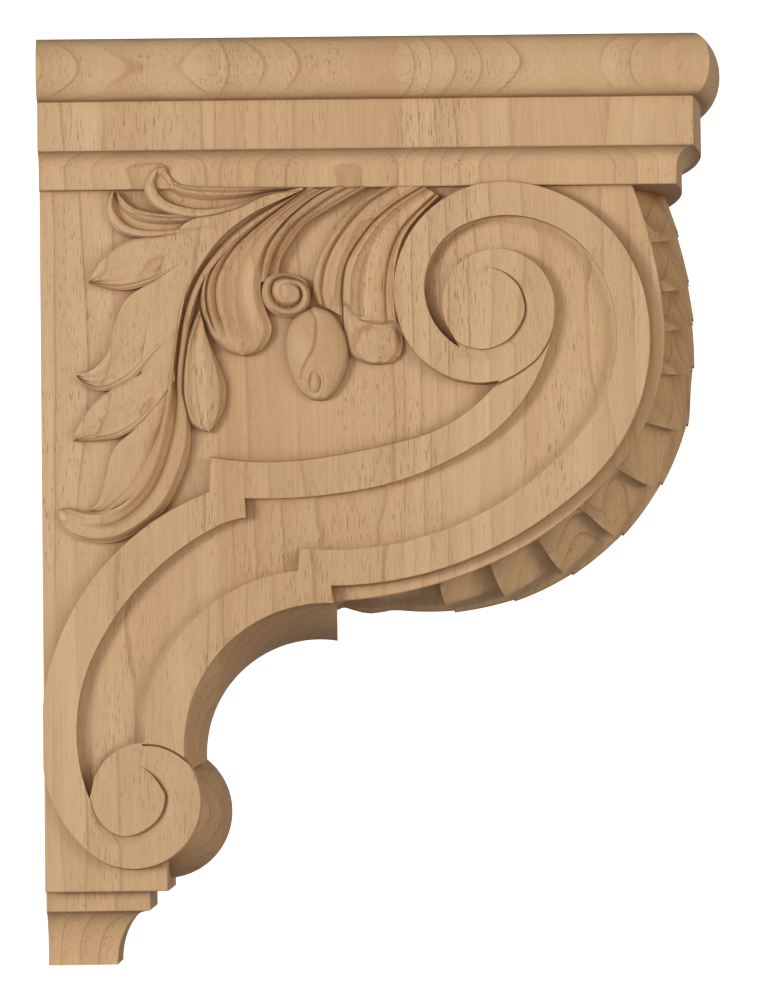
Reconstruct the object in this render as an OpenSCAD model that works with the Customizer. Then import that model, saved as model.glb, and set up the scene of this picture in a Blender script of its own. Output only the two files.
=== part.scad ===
// A carved wooden corbel: a moulded cap over an S-shaped scroll bracket, cut from one block.
// X points out from the wall, Y runs along the wall, Z points up.
// The origin is the middle of the flat back that goes against the wall.

/* [Overall] */
// Height from the foot of the base to the top of the cap
height = 347.5; // [320:0.5:480]
// How far the cap stands out from the wall at its corners
cap_projection = 252; // [248:1:310]
// Width of the cap across its rounded top moulding
cap_w = 125; // [115:1:170]
// Width of the body between its two flat side panels
body_w = 88; // [70:1:92]

/* [Cap] */
// Height of the whole cap
cap_h = 56; // [50:1:70]
// Height of the rounded top moulding
torus_h = 23.5; // [16:0.5:24]
// Height of the flat band below the rounded moulding
fascia_h = 18.5; // [10:0.5:20]
// How far the rounded moulding stands out past the flat band
torus_out = 7.5; // [3:0.5:10]
// Radius of the hollow below the flat band
cove_r = 7.5; // [3:0.5:9]
// How far the front of the cap bows out in plan at its middle
bow = 8; // [3:0.5:14]

/* [Scrolls] */
// How far the scrolls stand out from the side panels
scroll_rise = 5.5; // [3:0.5:8]
// How deep the channel between the scroll bands is sunk
channel_depth = 4; // [1.5:0.5:5]
// Width of the fine groove that marks out each scroll eye
eye_groove_w = 1.2; // [0.8:0.1:2]
// Depth of the fine groove that marks out each scroll eye
eye_groove_d = 1.2; // [0.5:0.1:2.5]

/* [Front] */
// How far the rounded cushion swells out below, at its middle
cushion_out = 9.5; // [4:0.5:14]
// Depth of the soft groove between the cushion and the scrolls
cushion_groove = 1.5; // [0.5:0.5:3]
// How far the front leaf swells out at its middle
leaf_swell = 18; // [16:0.5:20]
// Width of the front leaf
leaf_w = 80; // [56:1:84]
// Width of the rib down the middle of the front leaf
rib_w = 12; // [6:0.5:18]
// How far the rib stands out past the leaf
rib_rise = 1.7; // [1:0.1:4]
// How far each lobe of the front leaf stands out past the next
lobe_step = 2.5; // [1:0.5:4]
// Radius of the rounded notch between two lobes at the edge of the front leaf
notch_r = 6; // [2:0.5:8]

/* [Side leaves] */
// Height of the domed bud at its middle
bud_rise = 7; // [3:0.5:9]

/* [Base] */
// Height of the moulded base
base_h = 28; // [20:0.5:40]
// Height of the flat band at the top of the base
base_fascia_h = 7.5; // [4:0.5:12]
// How far the base is set in from the block above it
base_inset = 7; // [3:0.5:10]
// How far the hollow of the base cuts back to its foot
base_cove = 13; // [6:0.5:16]
// Height of the plain square block above the base
block_h = 5; // [3:0.5:40]

/* [Hidden] */
wood = "burlywood";
// Length of one step along a drawn arc, in degrees of turn
arc_step = 9;
// Overlap that lets two parts of the block run into each other
run_in = 2;
// Clear space that a cutting shape reaches past what it cuts
past = 5;

// The side pattern is drawn with the compass at full size, from the foot of the cap down.
pattern_drop = 258.5;
// Front face of the plain square block
block_x = 46;
size = (height - cap_h - block_h - base_h) / pattern_drop;
panel_y = body_w / 2;
scroll_y = panel_y + scroll_rise;
bow_r = (pow(cap_w / 2, 2) + bow * bow) / (2 * bow);
base_out = size * block_x - base_inset;
foot_z = -height;
base_top_z = foot_z + base_h;

// Front of the upper scroll: a round of this radius about this centre.
crown_x = 148;
crown_z = -58;
crown_r = 99;
// Above that centre the leaf is turned from this much further back, so it leans in to the cap
leaf_lean = 52;
leaf_top_turn = 26;
// Turn of the rib round the crown, to the tip of the leaf
rib_turn = 104;
// How far the leaf and its rib run down into the block
leaf_root = 40;
rib_root = 20;
// Hollow and round of the lower front
hollow_x = 106;
hollow_z = -209.5;
hollow_r = 53;
toe_x = 45.5;
toe_z = -236.5;
toe_r = 23;
toe_side_r = 12;
// The square end where the upper scroll stops above the hollow
heel_x = 110.5;
heel_z = -156.5;
heel_drop = 22;
// Front of the block where the hollow and the toe cover it, and the block below them
behind_hollow = [[71, -209], [53, -219], [block_x, -232]];

// ---- drawing with arcs ----------------------------------------------------------------

// Last value of a list
function last(p) = p[len(p) - 1];

// Points along one arc of radius r that turns by sweep, from [x, z, heading]
function arc_points(s, r, sweep) =
    let (n = max(2, ceil(abs(sweep) / arc_step)))
    [for (i = [1 : n])
        let (a = sweep * i / n)
        [s[0] + r * (sin(s[2] + a) - sin(s[2])),
         s[1] - r * (cos(s[2] + a) - cos(s[2])),
         s[2] + a]];

// States [x, z, heading] along a run of arcs, each one leaving straight on from the last
function arc_run(s, arcs, i = 0) =
    i == len(arcs) ? [s]
    : concat([s], arc_run(last(arc_points(s, arcs[i][0], arcs[i][1])), arcs, i + 1));

// Points [x, z] along a run of arcs
function chain(s, arcs) =
    let (states = arc_run(s, arcs))
    concat([[s[0], s[1]]],
        [for (i = [0 : len(arcs) - 1])
            for (q = arc_points(states[i], arcs[i][0], arcs[i][1])) [q[0], q[1]]]);

// State at the end of a run of arcs
function chain_end(s, arcs) = last(arc_run(s, arcs));

// The same list from its other end
function reversed(p) = [for (i = [len(p) - 1 : -1 : 0]) p[i]];

// One point of a smooth curve through b and c, with a before them and d after
function between(a, b, c, d, t) =
    0.5 * (2 * b + (c - a) * t + (2 * a - 5 * b + 4 * c - d) * t * t
        + (3 * b - a - 3 * c + d) * t * t * t);

// A smooth curve through a few points, with one more between each two
function smooth(p) =
    let (n = len(p) - 1)
    concat([for (i = [0 : n - 1])
        for (t = [0, 0.5])
            between(p[max(i - 1, 0)], p[i], p[i + 1], p[min(i + 2, n)], t)], [p[n]]);

// A drawn outline at the pattern's size
function sized(p) = [for (q = p) q * size];

// ---- the side pattern -----------------------------------------------------------------

// Front edge of the flat side panel, from the cap round to the heel
panel_start = [223, 2, -68.5];
panel_arcs = [[-176, -17.5], [-79, -44], [-130, -25.5], [-163, -22]];

// Outer edge of the upper scroll, from under its eye round to the heel
upper_start = [172.3, -73.9, -168];
upper_arcs = [[-32, -82], [-41, -113], [-55.5, -75.5], [-74.5, -60.5], [-162.5, -8.5], [-139, -33]];

// Front edge of the lower scroll, the wall of the hollow
hollow_start = [109.1, -156.7, 177];
hollow_arcs = [[53.5, 96]];

// Outer edge of the lower scroll, from the notch down and round its curl
lower_start = [63.1, -114.3, -160];
lower_arcs = [[97, 76], [51.5, 42.5], [25.2, 149]];
curl_r = 20.5;
// Turn of the curl from the toe to the hollow, on to the channel, and along the channel
curl_to_hollow = 28;
curl_to_channel = 75;
curl_in_channel = 65;

// Upper edge of the band that runs back from the upper scroll
back_start = [171.2, -74.7, -129];
back_arcs = [[-60.5, -36], [-275, -8], [-130, -17]];

// Channel: its outer wall, then its inner wall, from eye to notch
channel_start = [157.7, -61.2, 150.5];
channel_arcs = [[-26.1, -128], [-39.8, -90], [-55, -61], [-120.5, -58]];
inner_start = [152.9, -52.8, 113];
inner_arcs = [[-20.6, -121.5], [-21.7, -85.5], [-65, -54.5], [-119.5, -21.5], [-205, -12.5]];

// Channel of the lower scroll: its front wall and its back wall
fore_start = [96, -144.4, -175.5];
fore_arcs = [[63.2, 77.5], [37.3, 13.5]];
rear_start = [76.7, -124.2, -174.5];
rear_arcs = [[32, 21.5], [103, 37.5], [67.5, 47]];

// Where the two curls have their eyes, and how large the eyes are
upper_eye = [166.7, -44.5, 15.2];
lower_eye = [32, -229.5, 13];
// Where the groove round each eye starts, and how far it turns
upper_groove = [-120, 200];
lower_groove = [-100, 180];

curl_start = chain_end(lower_start, lower_arcs);
curl_top = chain_end(curl_start, [[curl_r, curl_to_channel]]);

scroll_outline = concat(
    chain(upper_start, upper_arcs),
    chain(hollow_start, hollow_arcs),
    reversed(concat(chain(lower_start, lower_arcs), chain(curl_start, [[curl_r, curl_to_hollow]]))),
    reversed(chain(back_start, back_arcs)));

channel_outline = concat(
    chain(channel_start, channel_arcs),
    chain(fore_start, fore_arcs),
    chain(curl_top, [[curl_r, curl_in_channel]]),
    reversed(chain(rear_start, rear_arcs)),
    reversed(chain(inner_start, inner_arcs)));

core_outline = concat(
    [[0, 0]],
    chain(panel_start, panel_arcs),
    [[heel_x, heel_z], [heel_x, heel_z - heel_drop]],
    behind_hollow,
    [[block_x, -pattern_drop], [0, -pattern_drop]]);

// ---- side leaves: [height, one edge, other edge], each edge from the root to the tip ---

side_leaves = [
    [2.6, [[47.5, -75], [37, -88.5], [27.5, -97.5], [24.5, -107.5], [21.5, -117], [18.5, -120]],
          [[50, -76], [44.5, -98], [37, -113.5], [24.5, -121.5], [18.5, -121]]],
    [3.1, [[49.5, -60.5], [37, -70], [23.5, -77.5], [15.5, -86.5], [12, -94]],
          [[50.5, -72], [39.5, -86.5], [30, -93], [21, -94.5], [12.5, -94.5]]],
    [3.5, [[56.5, -30.5], [45, -34], [33, -41], [28, -51.5], [25, -62], [19, -68], [13.5, -69.5]],
          [[52, -53], [43.5, -62], [34, -72], [23.5, -76], [16.5, -73.5], [13.5, -70]]],
    [3.9, [[66, -14], [46.5, -17.5], [33.5, -19.5], [24, -26], [18.5, -34.5]],
          [[59, -28], [52, -29.5], [42, -35.5], [30.5, -38], [18.5, -35]]],
    [4.3, [[70, -9.5], [49.5, -9.5], [36, -7], [29.5, -1]],
          [[66, -15], [54.5, -17], [39, -18.5], [29.5, -15.5], [25.5, -7.5], [27.5, -0.5]]],
    [4.8, [[98, 0], [85, 0], [70, 0.5], [53.5, 1.5], [48, 7.5]],
          [[98, -1.5], [85, -3], [73, -8.5], [57.5, -11.5], [44, -7.5], [39.5, 0.5], [42.5, 7.5], [46.5, 8.5]]],
    [3.4, [[60, -45.5], [54.5, -59], [52.5, -76], [54.5, -85.5], [59, -90.5], [63, -91.5]],
          [[62, -53.5], [64.5, -60], [69, -72], [69.5, -78], [68, -85], [63.5, -92]]],
    [4.4, [[97.5, 0], [78.5, -9.5], [65, -21], [54, -40], [50.5, -59.5], [45.5, -88.5], [40, -107],
           [30.5, -118.5], [20, -121.5], [10, -119.5], [6.5, -120.5]],
          [[105, 0], [83.5, -13.5], [68.5, -27.5], [60.5, -38.5], [55.5, -57], [53.5, -76], [56, -88.5],
           [55, -102], [47, -119.5], [35, -129.5], [23.5, -133], [11, -130], [6, -122.5]]],
    [4.9, [[98, -1], [81.5, -12.5], [68.5, -23], [61.5, -33.5], [60.5, -44], [63.5, -53.5], [68, -60], [75, -64]],
          [[111, 0], [103.5, -4], [93.5, -12.5], [86, -23], [84, -36.5], [85, -46], [86.5, -54.5],
           [83, -61], [76, -64.5]]],
    [4.2, [[111, 0], [103.5, -4], [93.5, -12.5], [86, -23], [83, -35.5]],
          [[123.5, 0], [110.5, -7.5], [100, -14], [93.5, -22.5], [90.5, -28.5], [90, -34]]],
    [3.6, [[129.5, 0], [120.5, -5.5], [112, -15], [107, -23], [104, -30.5], [103, -38], [104.5, -43.5]],
          [[145, 0], [135, -6], [126, -13.5], [118.5, -23.5], [115, -31.5], [114, -39.5], [113.5, -48.5]]],
    [4.8, [[145, 0], [135, -6], [126, -13.5], [118.5, -23.5], [115, -31.5], [114, -42.5], [114.5, -55.5],
           [117, -62.5], [123.5, -66.5]],
          [[151, -4], [140, -16.5], [136, -28], [135.5, -43], [136, -56], [135.5, -62.5], [129.5, -67]]]];

bud_edge = [[103, -44.5], [97, -46.5], [93, -51.5], [92, -60], [93, -68], [96.5, -75.5],
            [103.5, -80], [108, -79], [112.5, -73], [116, -65.5], [115.5, -61.5], [113, -49.5], [108.5, -46]];
bud_centre = [104, -62.5];
// Distance from the middle of the bud at which its dome would reach the panel
bud_reach = 20;
leaf_curl = [92.7, -40, 8.8];
leaf_curl_rise = 5.2;

// ---- building blocks ------------------------------------------------------------------

// A flat shape in the side pattern, from one depth to another out of the near side
module cut_out(from_y, to_y)
    translate([0, -from_y, -cap_h])
        rotate([90, 0, 0])
            linear_extrude(to_y - from_y)
                children();

// The same thing on the near and the far side
module both_sides()
    for (side = [0, 1])
        mirror([0, side, 0])
            children();

// A round made about a line along the wall: profile drawn as [radius, y]
module turned_across(x, z)
    translate([size * x, 0, size * z - cap_h])
        rotate([-90, 0, 0])
            children();

// ---- cap ------------------------------------------------------------------------------

// How far the cap moulding stands out past its foot, and how far down: [out, z]
cap_edge = concat(
    [for (a = [0 : 15 : 165])
        [cove_r + torus_out * sin(a), -torus_h / 2 + torus_h / 2 * cos(a)]],
    [[cove_r, -torus_h], [cove_r, -torus_h - fascia_h]],
    [for (a = [15 : 15 : 90])
        [cove_r - cove_r * sin(a), -torus_h - fascia_h - cove_r * (1 - cos(a))]],
    [[0, -cap_h]]);

module cap() {
    side_foot = cap_w / 2 - torus_out - cove_r;
    front_foot = bow_r - torus_out - cove_r;
    near = [for (q = cap_edge) [-side_foot - q[0], q[1]]];
    far = reversed([for (q = near) [-q[0], q[1]]]);
    intersection() {
        rotate([90, 0, 90])
            linear_extrude(cap_projection + bow + past)
                polygon(concat(near, far));
        translate([cap_projection + bow - bow_r, 0, 0])
            rotate_extrude($fn = 96)
                polygon(concat([[0, 0]], [for (q = cap_edge) [front_foot + q[0], q[1]]], [[0, -cap_h]]));
    }
}

// ---- core -----------------------------------------------------------------------------

// Block with the flat side panels, cut to the side pattern
module core_block()
    translate([0, 0, -cap_h])
        rotate([90, 0, 0])
            linear_extrude(body_w, center = true) {
                polygon(sized(core_outline));
                translate([0, -run_in])
                    square([size * panel_start[0] - past, 2 * run_in]);
            }

// Arc across the width that falls from mid_r in the middle to side_r at the panels
function across(mid_r, side_r, half_w) =
    let (fall = mid_r - side_r, r = (half_w * half_w + fall * fall) / (2 * abs(fall)),
         a = asin(half_w / r))
    [for (i = [-6 : 6]) [mid_r - sign(fall) * r * (1 - cos(a * i / 6)), r * sin(a * i / 6)]];

// What the rounded hollow under the heel takes away
module hollow_cut()
    turned_across(hollow_x, hollow_z)
        rotate_extrude($fn = 96)
            polygon(concat([[0, -panel_y]],
                across(size * hollow_r - cushion_out, size * hollow_r + cushion_groove, panel_y),
                [[0, panel_y]]));

// Rounded toe of the cushion below the hollow
module toe()
    turned_across(toe_x, toe_z)
        rotate_extrude($fn = 96)
            polygon(concat([[0, -panel_y]],
                across(size * toe_r, size * toe_side_r, panel_y),
                [[0, panel_y]]));

// Plain square block under the scrolls
module block()
    translate([0, -panel_y, base_top_z])
        cube([size * block_x, body_w, block_h + run_in]);

// ---- base -----------------------------------------------------------------------------

// How far the base is cut back and how far down: [in, z]
base_edge = concat(
    [[0, base_top_z + run_in], [0, base_top_z - base_fascia_h]],
    [for (a = [18 : 18 : 90])
        [base_cove * sin(a), base_top_z - base_fascia_h - (base_h - base_fascia_h) * (1 - cos(a))]]);

module base() {
    half_w = panel_y - base_inset;
    near = [for (q = base_edge) [-half_w + q[0], q[1]]];
    intersection() {
        rotate([90, 0, 90])
            linear_extrude(base_out)
                polygon(concat(near, reversed([for (q = near) [-q[0], q[1]]])));
        rotate([90, 0, 0])
            linear_extrude(body_w, center = true)
                polygon(concat([[0, base_top_z + run_in]],
                    [for (q = base_edge) [base_out - q[0], q[1]]], [[0, foot_z]]));
    }
}

// ---- scrolls --------------------------------------------------------------------------

// Fine groove part of the way round a scroll eye
module eye_groove(eye, groove)
    translate([size * eye[0], -scroll_y, size * eye[1] - cap_h])
        rotate([90, 0, 0])
            rotate_extrude(angle = groove[1], start = groove[0], $fn = 48)
                translate([size * eye[2] - eye_groove_w / 2, -eye_groove_d])
                    square([eye_groove_w, eye_groove_d + past]);

module scroll()
    difference() {
        cut_out(panel_y - run_in, scroll_y)
            polygon(sized(scroll_outline));
        cut_out(scroll_y - channel_depth, scroll_y + past)
            polygon(sized(channel_outline));
        eye_groove(upper_eye, upper_groove);
        eye_groove(lower_eye, lower_groove);
        translate([-past, -body_w, foot_z])
            cube([past, 2 * body_w, height]);
    }

// ---- side leaves ----------------------------------------------------------------------

// One leaf, flat on top
module side_leaf(rise, edge_a, edge_b)
    cut_out(panel_y - run_in, panel_y + rise)
        polygon(sized(concat(smooth(edge_a), reversed(smooth(edge_b)))));

// Domed bud
module bud() {
    dome_r = (bud_reach * bud_reach + bud_rise * bud_rise) / (2 * bud_rise);
    intersection() {
        cut_out(panel_y - run_in, panel_y + bud_rise + past)
            polygon(sized(bud_edge));
        translate([size * bud_centre[0], -panel_y - bud_rise + dome_r, size * bud_centre[1] - cap_h])
            sphere(dome_r, $fn = 96);
    }
}

// Small round curl at the end of a leaf
module curl()
    translate([size * leaf_curl[0], -panel_y, size * leaf_curl[1] - cap_h])
        rotate([90, 0, 0])
            translate([0, 0, -run_in])
                cylinder(h = run_in + leaf_curl_rise, r = size * leaf_curl[2], $fn = 48);

module leaf_spray() {
    for (leaf = side_leaves)
        side_leaf(leaf[0], leaf[1], leaf[2]);
    bud();
    curl();
}

// ---- front leaf -----------------------------------------------------------------------

// Where the lobes of the front leaf part, as angles round the crown
lobe_ends = [0, -17, -34, -51, -68, -85, -100];

// Cross-section of the leaf as [radius, y], swelling to its middle
function leaf_section(mid_r) =
    concat([[mid_r - leaf_root, -leaf_w / 2]],
        across(mid_r, mid_r - leaf_swell, leaf_w / 2),
        [[mid_r - leaf_root, leaf_w / 2]]);

// One lobe of the front leaf, higher at its lower end than where it starts
module front_lobe(from_a, to_a)
    turned_across(crown_x + lobe_step / 2 * cos(to_a), crown_z + lobe_step / 2 * sin(to_a))
        rotate_extrude(angle = from_a - to_a, start = -from_a, $fn = 96)
            polygon(leaf_section(size * crown_r - lobe_step / 2));

// Turned about the line that the leaf leans back from, above the crown's centre
module leaned_back()
    turned_across(crown_x - leaf_lean, crown_z)
        rotate_extrude(angle = leaf_top_turn, start = -leaf_top_turn, $fn = 96)
            children();

// The top of the front leaf, leaning back as it runs up into the cap
module front_top()
    leaned_back()
        polygon(leaf_section(size * (crown_r + leaf_lean) - lobe_step));

// Cross-section of the rib, at its distance from the line it is turned about
module rib_section(out)
    translate([out + rib_rise - rib_root, -rib_w / 2])
        square([rib_root, rib_w]);

// Rib down the middle
module front_rib() {
    turned_across(crown_x, crown_z)
        rotate_extrude(angle = rib_turn, start = 0, $fn = 96)
            rib_section(size * crown_r);
    leaned_back()
        rib_section(size * (crown_r + leaf_lean));
}

// Rounded notches that scallop both edges of the leaf, one where each two lobes part
module lobe_notches() {
    floor_r = size * crown_r - leaf_swell - notch_r;
    for (i = [0 : len(lobe_ends) - 2])
        translate([size * crown_x, 0, size * crown_z - cap_h])
            rotate([0, 90 - lobe_ends[i], 0])
                both_sides()
                    translate([0, -leaf_w / 2 - run_in, floor_r])
                        cylinder(h = leaf_swell + notch_r + past, r = notch_r, $fn = 32);
}

module front_leaf() {
    difference() {
        union() {
            for (i = [0 : len(lobe_ends) - 2])
                front_lobe(lobe_ends[i], lobe_ends[i + 1]);
            front_top();
        }
        lobe_notches();
    }
    front_rib();
}

// ---- the whole corbel -----------------------------------------------------------------

module corbel()
    color(wood)
        translate([0, 0, height / 2]) {
            cap();
            difference() {
                core_block();
                hollow_cut();
            }
            toe();
            block();
            base();
            front_leaf();
            both_sides() {
                scroll();
                leaf_spray();
            }
        }

corbel();
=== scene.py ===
"""A carved wooden corbel bracket: moulded cap, scrolled sides, leaf work and a moulded base.

All of the carving is worked from one side pattern, drawn in millimetres: X runs out from the wall,
Y along the wall and Z up from the foot of the cap. The finished block is one watertight piece.
"""

import logging
import math
from collections.abc import Sequence
from dataclasses import dataclass, field
from enum import Enum

import bmesh
import bpy
import numpy as np
from mathutils import Euler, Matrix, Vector


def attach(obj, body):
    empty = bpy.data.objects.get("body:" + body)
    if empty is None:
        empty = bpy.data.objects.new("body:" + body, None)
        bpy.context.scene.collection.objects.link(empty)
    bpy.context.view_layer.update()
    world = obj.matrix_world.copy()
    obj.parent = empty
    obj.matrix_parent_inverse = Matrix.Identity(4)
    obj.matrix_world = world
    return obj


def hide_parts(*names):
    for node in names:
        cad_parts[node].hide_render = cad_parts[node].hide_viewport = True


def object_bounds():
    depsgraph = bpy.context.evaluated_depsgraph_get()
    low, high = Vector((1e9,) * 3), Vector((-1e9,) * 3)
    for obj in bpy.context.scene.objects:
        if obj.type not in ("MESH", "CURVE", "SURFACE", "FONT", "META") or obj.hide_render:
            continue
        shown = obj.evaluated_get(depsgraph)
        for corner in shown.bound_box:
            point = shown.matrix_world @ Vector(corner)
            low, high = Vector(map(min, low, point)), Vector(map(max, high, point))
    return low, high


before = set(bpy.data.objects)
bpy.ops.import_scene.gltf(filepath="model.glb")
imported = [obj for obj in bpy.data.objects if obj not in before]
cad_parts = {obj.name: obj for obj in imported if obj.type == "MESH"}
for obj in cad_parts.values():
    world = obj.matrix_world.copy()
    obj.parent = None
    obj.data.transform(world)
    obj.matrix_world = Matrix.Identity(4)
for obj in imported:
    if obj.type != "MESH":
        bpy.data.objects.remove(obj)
CAD_BOX = [list(corner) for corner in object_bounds()]

LOG = logging.getLogger("corbel")
MM = 0.001

Pair = tuple[float, float]
Triple = tuple[float, float, float]


@dataclass(frozen=True)
class Block:
    """Overall sizes of the bracket in millimetres, shared by every part of the carving.

    Shapes run into each other by `run_in`, and cutting shapes reach `past` what they cut.
    """

    cap_projection: float = 252.0
    cap_w: float = 125.0
    body_w: float = 88.0
    cap_h: float = 56.0
    bow: float = 8.0
    scroll_rise: float = 5.5
    pattern_drop: float = 258.5
    base_h: float = 28.0
    block_h: float = 5.0
    block_x: float = 46.0
    run_in: float = 2.0
    past: float = 5.0
    top_z: float = CAD_BOX[1][2] / MM

    @property
    def lift(self) -> float:
        """How far the pattern's zero lies over the middle of the bracket's height."""
        return self.top_z - self.cap_h

    @property
    def panel_y(self) -> float:
        """Half width of the body at its flat side panels."""
        return self.body_w / 2

    @property
    def scroll_y(self) -> float:
        """Half width of the body at the faces of its scrolls."""
        return self.panel_y + self.scroll_rise

    @property
    def block_foot_z(self) -> float:
        """Height in the pattern of the foot of the square block, where the base begins."""
        return -(self.pattern_drop + self.block_h)


BLOCK = Block()


class Side(Enum):
    """The side of the bracket that a carving is cut on, as the sign of its Y."""

    NEAR = -1
    FAR = 1


class Cut(Enum):
    """How one shape is worked into another."""

    ADD = "UNION"
    TAKE = "DIFFERENCE"


# ---- drawing ---------------------------------------------------------------------------------


def run_of_arcs(start: Triple, arcs: tuple[Pair, ...], step: float = 3.0) -> np.ndarray:
    """Draw arcs that leave straight on from one another.

    Args:
        start: First point and heading as x, z and degrees.
        arcs: Radius and turn of each arc, the turn in degrees.
        step: Turn between two drawn points, in degrees.

    Returns:
        The points and headings, one row of x, z, degrees each.
    """
    rows = [np.array(start, float)]
    for radius, turn in arcs:
        x, z, heading = rows[-1]
        count = max(2, math.ceil(abs(turn) / step))
        for i in range(1, count + 1):
            now = heading + turn * i / count
            a, b = math.radians(heading), math.radians(now)
            rows.append(np.array([x + radius * (math.sin(b) - math.sin(a)),
                                  z - radius * (math.cos(b) - math.cos(a)), now]))
    return np.array(rows)


def smooth_curve(points: Sequence[Pair], between: int = 8) -> np.ndarray:
    """Draw a smooth curve through a few points.

    Args:
        points: The points that it passes through.
        between: How many pieces each span is drawn with.

    Returns:
        The points of the curve, one row each.
    """
    p = np.array(points, float)
    last = len(p) - 1
    rows = []
    for i in range(last):
        a, b, c, d = p[max(i - 1, 0)], p[i], p[i + 1], p[min(i + 2, last)]
        for t in np.arange(between) / between:
            rows.append(0.5 * (2 * b + (c - a) * t + (2 * a - 5 * b + 4 * c - d) * t * t
                               + (3 * b - a - 3 * c + d) * t ** 3))
    return np.array(rows + [p[last]])


def spaced(line: np.ndarray, count: int, first: float = 0.0, end: float = 1.0) -> np.ndarray:
    """Space points evenly along part of a line.

    Args:
        line: The line's points.
        count: How many points to give back.
        first: Share of the length at which they begin.
        end: Share of the length at which they end.

    Returns:
        The evenly spaced points.
    """
    steps = np.linalg.norm(np.diff(line, axis=0), axis=1)
    at = np.concatenate([[0], np.cumsum(steps)])
    want = np.linspace(first, end, count) * at[-1]
    return np.stack([np.interp(want, at, line[:, k]) for k in range(line.shape[1])], axis=1)


def soft_profile(points: Sequence[Pair], at: np.ndarray) -> np.ndarray:
    """Read a profile that eases from each of its points to the next.

    Args:
        points: Place and height of each point.
        at: Places to read.

    Returns:
        The heights there.
    """
    xs, hs = np.array(points, float).T
    i = np.clip(np.searchsorted(xs, at, side="right") - 1, 0, len(xs) - 2)
    return hs[i] + (hs[i + 1] - hs[i]) * ease(xs[i], np.maximum(xs[i + 1], xs[i] + 1e-9), at)


def ease(low: float | np.ndarray, high: float | np.ndarray, at: np.ndarray) -> np.ndarray:
    """Ease from 0 at one place to 1 at another."""
    u = np.clip((at - low) / (high - low), 0, 1)
    return u * u * (3 - 2 * u)


def bell(at: np.ndarray, middle: float, reach: float, power: int = 2) -> np.ndarray:
    """Share that is one at the middle and dies away past its reach."""
    return np.exp(-((at - middle) / reach) ** power)


def cleaned(outline: np.ndarray, least: float = 0.2) -> np.ndarray:
    """Drop the points of a closed outline that lie almost on the one before.

    Args:
        outline: Its points in order.
        least: The shortest edge that is kept, in millimetres.

    Returns:
        The points that are left.
    """
    keep = [outline[0]]
    for point in outline[1:]:
        if np.linalg.norm(point - keep[-1]) > least:
            keep.append(point)
    if np.linalg.norm(keep[-1] - keep[0]) <= least:
        keep.pop()
    return np.array(keep)


def inset(outline: np.ndarray, by: float, longest_mitre: float = 1.6) -> np.ndarray:
    """Move a closed outline inwards.

    Args:
        outline: Its points in order, in either direction.
        by: How far in; a negative value moves it out.
        longest_mitre: How many times that far a sharp corner may move.

    Returns:
        As many points, moved along the mitre of the two edges that meet at each.
    """
    after, before = np.roll(outline, -1, 0), np.roll(outline, 1, 0)
    area = np.sum(outline[:, 0] * after[:, 1] - after[:, 0] * outline[:, 1])
    out_edge = (after - outline) / np.linalg.norm(after - outline, axis=1, keepdims=True)
    in_edge = (outline - before) / np.linalg.norm(outline - before, axis=1, keepdims=True)
    normal = np.stack([-(out_edge + in_edge)[:, 1], (out_edge + in_edge)[:, 0]], axis=1)
    size = np.maximum(np.linalg.norm(normal, axis=1, keepdims=True), 1e-6)
    return outline + math.copysign(by, by * area) * np.clip(2 / size, 1, longest_mitre) * normal / size


# ---- solids ----------------------------------------------------------------------------------


def solid(name: str, points: np.ndarray, faces: list[tuple[int, ...]]) -> bpy.types.Object:
    """Make a closed shape from pattern points.

    Args:
        name: Name of the object.
        points: x, y, z of the pattern, in millimetres.
        faces: Corner numbers of each face.

    Returns:
        The object, in metres, its faces looking outwards.
    """
    work = bmesh.new()
    verts = [work.verts.new((x * MM, y * MM, (z + BLOCK.lift) * MM)) for x, y, z in points]
    for face in faces:
        work.faces.new([verts[i] for i in face])
    bmesh.ops.remove_doubles(work, verts=work.verts, dist=2e-6)
    bmesh.ops.recalc_face_normals(work, faces=work.faces)
    if work.calc_volume(signed=True) < 0:
        bmesh.ops.reverse_faces(work, faces=work.faces)
    mesh = bpy.data.meshes.new(name)
    work.to_mesh(mesh)
    loose = [e for e in work.edges if len(e.link_faces) != 2]
    if loose:
        LOG.warning("%s is open at %d edges", name, len(loose))
    work.free()
    obj = bpy.data.objects.new(name, mesh)
    bpy.context.scene.collection.objects.link(obj)
    return obj


def hoops(count: int, size: int) -> list[tuple[int, ...]]:
    """Face the bands between rings of points that are numbered one ring after another.

    Args:
        count: How many rings there are.
        size: Points in each ring.

    Returns:
        The four corner numbers of each face.
    """
    return [(i + j, i + (j + 1) % size, i + size + (j + 1) % size, i + size + j)
            for i in range(0, (count - 1) * size, size) for j in range(size)]


def loft(name: str, rings: np.ndarray) -> bpy.types.Object:
    """Close a row of rings of points into a solid.

    Args:
        name: Name of the object.
        rings: Rings, points in a ring and x, y, z.

    Returns:
        The object.
    """
    count, size = rings.shape[:2]
    ends = [tuple(range(size)), tuple(range((count - 1) * size, count * size))]
    return solid(name, rings.reshape(-1, 3), ends + hoops(count, size))


def slab(name: str, outline: np.ndarray, levels: list[Pair]) -> bpy.types.Object:
    """Build a board of the pattern's outline, its edge stepped in level by level.

    Args:
        name: Name of the object.
        outline: x and z of the closed outline.
        levels: Y and inset of each level in turn.

    Returns:
        The object.
    """
    rings = []
    for y, by in levels:
        flat = inset(outline, by) if by else outline
        rings.append(np.insert(flat, 1, y, axis=1))
    return loft(name, np.array(rings))


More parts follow.
